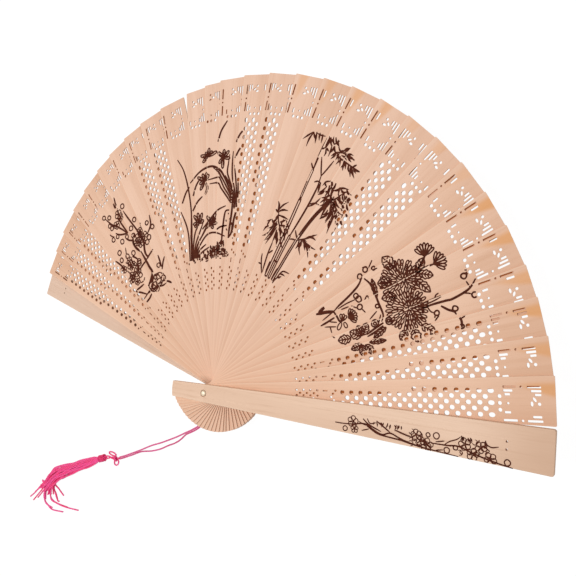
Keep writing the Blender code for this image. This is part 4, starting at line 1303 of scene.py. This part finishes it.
def draw_orchids():
    art = Picture(108.5, 13.0)
    # Long leaves of the left clump, then of the right one, then loose ones
    art.lines([
        [(-13.6, 75), (-12.6, 90), (-11.4, 104), (-12.6, 118), (-15.2, 129), (-19.4, 136.6)],
        [(-14.6, 75), (-14.4, 88), (-15.6, 96), (-19.2, 105)], [(-12.8, 75), (-12.2, 88), (-11.2, 100)],
        [(-12.2, 75), (-11.2, 84), (-9.4, 91), (-6.2, 95)],
        [(-11.6, 76), (-9.6, 84), (-6.4, 90), (-3, 96)],
        [(-11, 76), (-8.6, 83), (-4, 89), (0.4, 95)],
        [(-10.6, 76), (-7, 82.4), (-1, 88.2), (5, 88.6), (11.6, 85.4)],
        [(-10.4, 78), (-7.6, 84.6), (-3.4, 89.4), (-1, 92)], [(-12, 80), (-10.4, 88), (-8.4, 93.4)],
        [(-10, 76), (-6.6, 80.4), (-2, 83)], [(-9.6, 76), (-5, 79), (0, 81)],
        [(-13.2, 76), (-12.8, 84), (-13, 90)],
        [(-4, 92), (3, 97.6), (8, 101), (13.8, 102.4)], [(6, 90), (9, 91.2), (13.6, 91.2)],
    ], 0.95, (0.85, 0.6))
    art.lines([
        [(17.6, 103), (14.6, 108), (11.4, 113), (9.4, 116.4), (3.4, 117.2)],
        [(18.2, 103), (16.2, 108), (13.4, 113), (11.4, 118), (10.2, 119.6), (5, 119.7), (1.6, 119.6)],
        [(18.8, 103), (17.4, 108), (15.2, 113), (12.6, 118.5), (9.8, 123), (6.8, 126)],
        [(12.6, 118.5), (10.6, 122.6), (8.6, 126.2)],
        [(20.2, 103), (19.4, 110), (17.8, 116), (16.6, 121), (17.8, 126), (19.2, 131)],
        [(20.8, 103), (20.6, 110), (19.8, 118), (20.6, 126), (21.8, 132)],
        [(21.4, 103), (21.9, 110), (22, 116), (21.8, 124)],
        [(22, 103), (23, 109), (23.6, 116)], [(19.6, 104), (18.8, 110), (17, 115.4), (15, 119.6)],
    ], 0.92, (0.75, 0.5))
    art.lines([
        [(19.2, 103), (18.2, 108), (16.6, 113), (14.2, 119), (11.4, 123.6), (7, 126.6), (2, 127),
         (-4, 125.2), (-10.8, 120.6)],
    ], 1.15, (0.6, 0.6))
    art.lines([
        [(-17.8, 109.8), (-14.6, 115.4), (-11.6, 118.4)], [(-10.2, 103.8), (-6.4, 108.4), (-2.4, 111)],
        [(-9.2, 112.6), (-6.6, 118), (-3, 122)], [(11.6, 140), (14.4, 145.6), (19.2, 150.4)],
        [(24.2, 136.6), (27, 140.2), (30.4, 142.6)], [(22.6, 127.8), (25.2, 131.2), (28.2, 133.8)],
    ], 1.05, (0.9, 0.65))
    # Trunk
    art.lines([
        [(18.6, 104), (18, 100), (16.8, 95), (15.4, 90), (13.8, 84)],
        [(21.2, 104), (21, 100), (20.2, 97), (18.6, 93.5), (17.4, 89), (15.6, 85.6)],
        [(20, 104), (19.4, 99.6)],
    ], 1.25)
    art.lines([
        [(16, 99.6), (13.2, 99), (11, 92), (9.6, 85.6), (9, 80)], [(17.6, 92), (16.4, 87), (14, 84)],
    ], 1.1)
    # Flowers, as petals from a middle
    for middle, tips in (
        ((-6, 96), ((-9.6, 101), (-6.6, 102), (-3.4, 101.4), (-10.4, 96), (-2.6, 97), (-9.6, 94.4))),
        ((2.6, 94.4), ((6.4, 99.4), (6.8, 93.8), (3.6, 91.2), (0, 99), (-1.4, 92.4), (6, 96.8))),
        ((0, 119.4), ((-5, 122.8), (-1.2, 124), (2, 124.2), (3.4, 122.6), (-3.6, 115), (-3.8, 118.6))),
        ((3.2, 133.2),
         ((-1.6, 134.8), (5, 137.8), (7, 135.6), (10.2, 134.6), (-0.4, 130.6), (2.2, 136))),
        ((14.4, 130.2),
         ((11, 134), (15.6, 134.4), (18.8, 132.8), (19, 128.6), (11.2, 127.4), (13.4, 124))),
    ):
        for tip in tips:
            reach = Vector(tip) - Vector(middle)
            art.petal(*middle, math.atan2(reach.y, reach.x), reach.length, 1.9, 0.74)
            art.leaf(middle, tuple(Vector(middle) + reach * 0.75), 1.0)
    art.lines([[(1, 118.6), (2.2, 115), (0, 111.4)], [(0.4, 118), (0.9, 115), (-0.6, 112)]], 0.6)
    # Grass and stones at the foot
    for low, high, foot, top, count in ((1, 11, 75.5, 82, 70), (-13, 13, 73.6, 77.6, 65)):
        for step in range(count):
            u = draws.uniform(low, high)
            v = draws.uniform(foot, top)
            lean = draws.uniform(-2.6, 2.6)
            art.leaf((u, v), (u + lean, v + draws.uniform(-1.2, 2.6)), draws.uniform(0.8, 1.2))
    for step in range(9):
        u = draws.uniform(12.6, 18.6)
        v = draws.uniform(83, 98)
        art.leaf((u, v), (u + draws.uniform(-0.8, 0.8), v + draws.uniform(0.8, 2.0)), 0.8)
    return art


def draw_plum():
    art = Picture(143.5, 8.5)
    art.lines([
        [(-6, 84), (-1, 86.4), (2, 88.6), (2.2, 93), (2.6, 98), (3, 105)],
        [(3, 105), (1.4, 110), (2, 115), (6, 118)],
        [(5.4, 97.6), (5, 101), (6, 104), (8.4, 108), (9.2, 113), (8.6, 118)],
    ], 1.5)
    art.lines([
        [(2.2, 122.4), (1.8, 128), (1.6, 134.6)], [(2.2, 122.4), (-0.6, 124), (-4, 126.8), (-6, 130)],
        [(1.6, 122.4), (0.2, 127), (-2.4, 132.6), (-5, 137), (-7, 144)],
        [(9.4, 113), (8.8, 122), (8.2, 130), (8, 136.6)],
        [(3, 115), (0.4, 117.4), (-1.4, 120.6)], [(-10, 81), (-13, 85), (-15.6, 88.6), (-16, 97)],
        [(-15.4, 89), (-12, 88.2), (-8, 87.6)], [(-17.4, 116), (-15.6, 111), (-14, 104)],
        [(-9.6, 81), (-6, 80.6), (-2, 82)], [(9, 84.4), (12, 87), (15.4, 89.2)],
        [(9.6, 86), (11, 90), (12, 93.6)],
        [(3.2, 98), (7, 98.6), (11.4, 99.2)], [(-5, 97), (-1, 97.6), (2.6, 97.6)],
        [(14, 110), (18, 111.4), (20.4, 113.4), (22.6, 118)],
        [(4.4, 143.4), (6, 145.4), (7.6, 149.4)], [(4.6, 146.6), (4.2, 143.2), (6.6, 144.6)],
        [(3.6, 138), (5.6, 141.4)],
        [(-2, 103), (-3.2, 106), (-4.6, 108)], [(-6, 97), (-5, 100), (-2, 103)],
    ], 1.1)
    art.lines([[(-13.4, 77.4), (-10, 77.6), (-6.8, 78.6)], [(7.2, 76.4), (8.4, 75), (9.6, 72.8)]], 1.2)
    art.lines([
        [(-13.8, 80.4), (-10, 80.8), (-6, 81.6)], [(-9, 111), (-7, 113.6), (-5.4, 116.6)],
        [(-11.4, 109), (-10, 106), (-9.6, 101)],
        [(-11.8, 95), (-9.8, 98), (-8, 101)], [(-10.4, 133), (-9.6, 130.6), (-8, 129)],
        [(-4.8, 90.4), (-7, 89.4), (-9.6, 90)],
        [(-13.6, 104), (-12.4, 100), (-10.6, 97)], [(12.8, 116), (13.8, 120)],
        [(-16.8, 105), (-14, 107.6)],
    ], 0.75)
    # Stones at the foot, drawn as loose loops
    for (u, v), wide, high in (
        ((0.6, 82.6), 6.6, 3.2), ((1.4, 82.2), 3.4, 4.0), ((-2.4, 80.4), 3.4, 2.6),
        ((4.4, 81.4), 3.6, 3.0),
        ((-1.6, 78), 1.8, 1.8), ((2, 84), 1.2, 1.2), ((6.4, 79.6), 1.8, 1.8), ((2.4, 79.8), 2.6, 2.2),
    ):
        start = draws.uniform(0, 2 * math.pi)
        turns = [start + 0.93 * 2 * math.pi * step / 12 for step in range(13)]
        art.line([(u + wide * math.cos(a), v + high * math.sin(a)) for a in turns], 0.75)
    art.leaves([
        ((-5.4, 79.6), (2.6, 79.4)), ((1, 77.4), (6.6, 75.6)), ((-4.4, 84.6), (1.6, 85.6)),
        ((-5, 82), (-1, 83.4)),
    ], 1.2)
    # Buds, single blossoms and crowded clusters
    for u, v in (
        (-7.5, 145.5), (-3.8, 142), (-7, 137.6), (-6.4, 134.8), (9.3, 139.4), (-10, 128), (-6, 127),
        (11.5, 125),
        (6, 122.6), (-5, 121.6), (0, 121), (4.5, 117.6), (-11.5, 117.6), (-13, 112.6), (18, 115.6),
        (19.8, 110.4),
        (-7.6, 111), (-2.4, 109), (-2, 101.6), (-5.8, 96.6), (8.4, 88.4), (-5.6, 99.6), (-6.6, 94),
        (-2.6, 100.4),
        (10.6, 106), (13.6, 107.4), (-12, 99.4), (-13.4, 96),
    ):
        art.ring(u, v, draws.uniform(1.25, 1.6), 0.78)
    for u, v, radius in (
        (3.6, 137.4, 3.2), (3.4, 134.6, 2.2), (-2, 133.4, 2.6), (7.6, 113.2, 3.2), (3.8, 112.2, 2.4),
        (11.4, 110.4, 3.0),
        (6, 109.4, 2.6), (-9, 104.4, 3.0), (-8, 107.6, 2.4), (-15.4, 106.6, 2.6), (-14, 97, 2.6),
        (-8, 97.6, 2.8),
        (-11, 92.4, 2.2), (-6.8, 103, 2.2), (10.4, 115.6, 2.4),
    ):
        art.blossom(u, v, radius, 0.66)
    return art


def draw_guard_branch():
    art = Picture(9.2, 26.3)
    art.lines([
        [(2.7, 80), (2.6, 85), (2.2, 89), (1.2, 95), (3.2, 99.4), (4.6, 103.6), (3.4, 107.6),
         (5.2, 113), (6.8, 121), (7.4, 129), (8, 138)],
        [(-1, 94), (1.2, 97), (3.4, 103)], [(1.6, 109.4), (3, 115), (3.4, 118)],
        [(4.4, 126), (4.2, 133), (3.8, 138), (5.6, 144), (7.4, 152), (8.8, 161)],
        [(-1, 100.6), (1, 104), (3.2, 107.6)],
        [(7.2, 124), (6.3, 117), (5.6, 112.6), (5.2, 107), (4.7, 102), (3.6, 99), (2, 96)],
    ], 0.62)
    art.lines([
        [(3.2, 97), (4.4, 93.6)], [(0.6, 92), (1.6, 95), (1.4, 97.4)],
        [(-1.4, 96), (0.6, 97.6), (-0.2, 100.6)],
        [(4, 132), (2.4, 134), (1, 137), (-0.4, 138.6)], [(0.4, 148), (1.8, 151), (1.2, 154)],
        [(2.6, 131.8), (3.6, 128)],
        [(6.4, 131.4), (7, 128.4)], [(2, 148.4), (3.6, 150.6)], [(4, 109.6), (5.6, 114.6)],
    ], 0.48)
    # Short ticks along the upper side, where the branch runs off
    for step in range(22):
        v = draws.choice((draws.uniform(99, 113), draws.uniform(138, 151)))
        low = (-0.9 + draws.uniform(0, 0.6), v)
        high = (0.6 + draws.uniform(0, 1.2), v + draws.uniform(-1.2, 1.2))
        art.leaf(low, high, 0.58)
    # Small curls among the blossoms
    for step in range(24):
        v = draws.choice((draws.uniform(138, 152), draws.uniform(116, 126)))
        u = draws.uniform(0.8, 6.6)
        start, radius = draws.uniform(0, 2 * math.pi), draws.uniform(0.6, 1.2)
        turns = [start + 4.2 * share / 6 for share in range(7)]
        art.line([(u + radius * math.cos(a), v + radius * math.sin(a)) for a in turns], 0.36)
    for v, u, radius in (
        (89, 1, 2.6), (119.4, 2, 2.4), (124.2, 5.5, 2.8), (140.4, 2.4, 2.6), (143.8, 6, 2.5),
        (147, 2.6, 2.4),
        (151, 6.6, 2.5), (90, 4.2, 1.8), (121.4, 4.4, 2.0),
    ):
        art.blossom(u, v, radius, 0.38)
    for v, u, radius in (
        (85.2, 4.7, 1.1), (128.2, 1, 1.3), (124.6, 1.2, 0.9), (133, 6.2, 1.2), (157.6, 6.8, 1.2),
        (136.6, 4.6, 0.9),
    ):
        art.ring(u, v, radius, 0.46)
    return art


FRONT_GUARD = BLADE_COUNT + 1
STICK_AXES = BLADE_AXES | {FRONT_GUARD: axis_of(1.0)}


def node_of(number):
    return "front_guard" if number == FRONT_GUARD else blade_name(number)


STICK_TOPS = {number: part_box(node_of(number))[1].z for number in STICK_AXES}


def on_stick(number, spot):
    """Whether a spot lies on a stick, and whether it is clear of the stick's holes."""
    cos, sin = math.cos(STICK_AXES[number]), math.sin(STICK_AXES[number])
    along = spot.x * cos + spot.y * sin
    across = spot.y * cos - spot.x * sin
    widths = GUARD_WIDTHS if number == FRONT_GUARD else BLADE_WIDTHS
    if not 0 < along < STICK_REACH or abs(across) > half_width(along, widths) - EDGE_MARGIN:
        return False, False
    for hole in BLADE_HOLES.get(number, ()):
        near_along = abs(along - hole.along * MM) < hole.length * MM / 2 + HOLE_MARGIN
        if near_along and abs(across - hole.across * MM) < hole.width * MM / 2 + HOLE_MARGIN:
            return True, False
    return True, True


def seen_at(spot):
    """The stick that shows at a spot of a drawing, if it is clear there, and the spot's place on it."""
    for number in range(FRONT_GUARD, 0, -1):
        share = (CAMERA_PLACE.z - STICK_TOPS[number]) / (CAMERA_PLACE.z - spot.z)
        place_on = CAMERA_PLACE.lerp(spot, share)
        on, clear = on_stick(number, place_on)
        if on:
            return number if clear else None, place_on
    return None, spot


def add_bar(shape, run, level, lift, finish=LINE_FINISH):
    """A thin closed bar along a run of (spot, half width), sunk a little into the wood."""
    faces = []
    loops = []
    for index, (spot, half) in enumerate(run):
        along = run[min(index + 1, len(run) - 1)][0] - run[max(index - 1, 0)][0]
        side = Vector((-along.y, along.x, 0.0)).normalized() * half
        corners = [(spot - side, -LINE_SUNK), (spot + side, -LINE_SUNK)]
        corners += [(spot + side, lift), (spot - side, lift)]
        loops.append([shape.verts.new((at.x, at.y, level + rise)) for at, rise in corners])
    for first, second in zip(loops, loops[1:]):
        for k in range(4):
            after = (k + 1) % 4
            faces.append(shape.faces.new((first[k], first[after], second[after], second[k])))
    faces += [shape.faces.new(loops[0][::-1]), shape.faces.new(loops[-1])]
    for face in faces:
        face.material_index = finish


def paint_hole_shadows(shapes):
    """Paint shadow on each blade where the next one's holes lie over it, as dark brown spots for the shade
    in the gap beneath.
    """
    for number in range(2, BLADE_COUNT + 1):
        turn = Matrix.Rotation(BLADE_AXES[number], 3, "Z")
        under = blade_name(number - 1)
        for hole in BLADE_HOLES[number][1:]:
            middle = turn @ Vector((hole.along, hole.across, 0.0)) * MM + SHADOW_SHIFT
            lean = Matrix.Rotation(math.radians(hole.turn_deg), 3, "Z")
            along = turn @ lean @ Vector((hole.length * MM, 0, 0))
            wide = hole.width * MM
            in_fret = hole.along > LATTICE_TOP
            inner = number in CLEAR_BLADES and hole.across < OUTER_SLITS_FROM
            if in_fret and (number < CLEAR_BELOW or inner):
                continue
            if number >= ONE_COLUMN_FROM and hole.along > WIDE_COLUMNS_END:
                if hole.across < COLUMN_FROM[in_fret]:
                    continue
                middle += turn @ Vector((0.0, COLUMN_SHIFT * wide, 0.0))
            if number < CLEAR_BELOW:
                wide *= LITTLE
            run = [(middle + along * t, wide * share) for t, share in SHADOW_FORM]
            if all(on_stick(number - 1, spot)[1] for spot, half in run):
                pale = hole.along < LATTICE_END or number < CLEAR_BELOW
                finish = PALE_SHADOW_FINISH if pale else SHADOW_FINISH
                shape = shapes.setdefault(under, bmesh.new())
                add_bar(shape, run, STICK_TOPS[number - 1], SHADOW_HEIGHT, finish)


def runs_of(route, wide, ends, taper):
    """A stroke's parts as (stick, run), cut wherever another stick or a hole begins."""
    runs = []
    last = None
    for index, spot in enumerate(route):
        number, place_on = seen_at(spot)
        share = index / (len(route) - 1)
        start = ends[0] + (1 - ends[0]) * share / taper
        end = ends[1] + (1 - ends[1]) * (1 - share) / taper
        if number and number != last:
            runs.append((number, []))
        if number:
            runs[-1][1].append((place_on, wide * min(start, end, 1.0) / 2))
        last = number
    return runs


def burn_pictures():
    """Cut every stroke at the sticks' edges and lay its parts on the sticks that they cross."""
    shapes = {}
    paint_hole_shadows(shapes)
    pictures = (draw_bamboo(), draw_chrysanthemums(), draw_orchids(), draw_plum(), draw_guard_branch())
    strokes = [stroke for art in pictures for stroke in art.strokes]
    for count, stroke in enumerate(strokes, 1):
        lift = LINE_HEIGHT + LIFT_STEP * (count % LIFT_LEVELS)
        for number, run in runs_of(*stroke):
            if len(run) > 1:
                shape = shapes.setdefault(node_of(number), bmesh.new())
                add_bar(shape, run, STICK_TOPS[number], lift)
    for node, shape in shapes.items():
        bmesh.ops.recalc_face_normals(shape, faces=shape.faces)
        # Burnt lines, and the painted hole shadows on the blades beneath
        mesh = mesh_of("burnt_lines_and_hole_shadows_" + node, shape, BURNT_LINE, HOLE_SHADOW, PALE_HOLE_SHADOW)
        slot = "guard_wood" if node == "front_guard" else "blade_wood"
        place(shown(mesh.name, mesh), node, slot)


make_blades()
make_guard("back_guard", 0.0, False)
make_guard("front_guard", 1.0, True)
make_rivet()
make_cords()
burn_pictures()


# Floor, light and camera

def make_stage():
    """A white floor that keeps a soft shadow, under even studio light."""
    size = FLOOR_SIZE
    mesh = bpy.data.meshes.new("floor")
    corners = [(-size, -size, 0), (size, -size, 0), (size, size, 0), (-size, size, 0)]
    mesh.from_pydata(corners, [], [(0, 1, 2, 3)])
    mesh.transform(Matrix.Translation((0, 0, -FLOOR_DROP)))
    floor = shown("floor", mesh)
    paper = bpy.data.materials.new("white_floor")
    paper.use_nodes = True
    tree = paper.node_tree
    tree.nodes.clear()
    seen = seen_ray(tree)
    plain = add_node(tree, "ShaderNodeBsdfDiffuse", {"Color": (0.8, 0.8, 0.8, 1.0)})
    dim = add_node(tree, "ShaderNodeBsdfDiffuse", {"Color": (0.10, 0.10, 0.10, 1.0)})
    glow = add_node(tree, "ShaderNodeEmission", {"Strength": FLOOR_GLOW})
    white = add_node(tree, "ShaderNodeAddShader", {0: dim.outputs[0], 1: glow.outputs[0]})
    mix = add_node(tree, "ShaderNodeMixShader", {0: seen, 1: plain.outputs[0], 2: white.outputs[0]})
    add_node(tree, "ShaderNodeOutputMaterial", {"Surface": mix.outputs[0]})
    mesh.materials.append(paper)

    world = bpy.data.worlds.new("studio")
    bpy.context.scene.world = world
    world.use_nodes = True
    tree = world.node_tree
    tree.nodes.clear()
    studio = {"Color": (1.0, 0.99, 0.975, 1.0), "Strength": STUDIO_LIGHT}
    soft = add_node(tree, "ShaderNodeBackground", studio)
    bright = add_node(tree, "ShaderNodeBackground", {"Color": (1.0, 1.0, 1.0, 1.0), "Strength": 1.0})
    seen = seen_ray(tree)
    mix = add_node(tree, "ShaderNodeMixShader", {0: seen, 1: soft.outputs[0], 2: bright.outputs[0]})
    add_node(tree, "ShaderNodeOutputWorld", {"Surface": mix.outputs[0]})

    lamp = bpy.data.lights.new("key", "AREA")
    lamp.energy = KEY_POWER
    lamp.size = KEY_SIZE
    key = bpy.data.objects.new("key", lamp)
    toward = KEY_FROM.normalized()
    key.location = KEY_TARGET + toward * KEY_DISTANCE
    key.rotation_euler = toward.to_track_quat("Z", "Y").to_euler()
    bpy.context.scene.collection.objects.link(key)


def seen_ray(tree):
    """One for rays that show the backdrop: from the camera, mirrored or through something clear."""
    path = add_node(tree, "ShaderNodeLightPath").outputs
    either = math_of(tree, "MAXIMUM", path["Is Camera Ray"], path["Is Glossy Ray"])
    return math_of(tree, "MAXIMUM", either, path["Is Transmission Ray"])


def make_camera():
    """The photograph's view."""
    back = (CAMERA_PLACE - CAMERA_TARGET).normalized()
    level = Vector((0, 0, 1)).cross(back).normalized()
    right = level * math.cos(CAMERA_ROLL) + back.cross(level) * math.sin(CAMERA_ROLL)
    up = back.cross(right)
    lens = bpy.data.cameras.new("view")
    lens.lens = CAMERA_LENS_MM
    lens.sensor_width = SENSOR_MM
    lens.clip_start = 0.01
    view = bpy.data.objects.new("view", lens)
    view.matrix_world = Matrix.Translation(CAMERA_PLACE) @ Matrix((right, up, back)).transposed().to_4x4()
    bpy.context.scene.collection.objects.link(view)
    bpy.context.scene.camera = view


make_stage()
make_camera()
bpy.context.scene.view_settings.view_transform = "Standard"
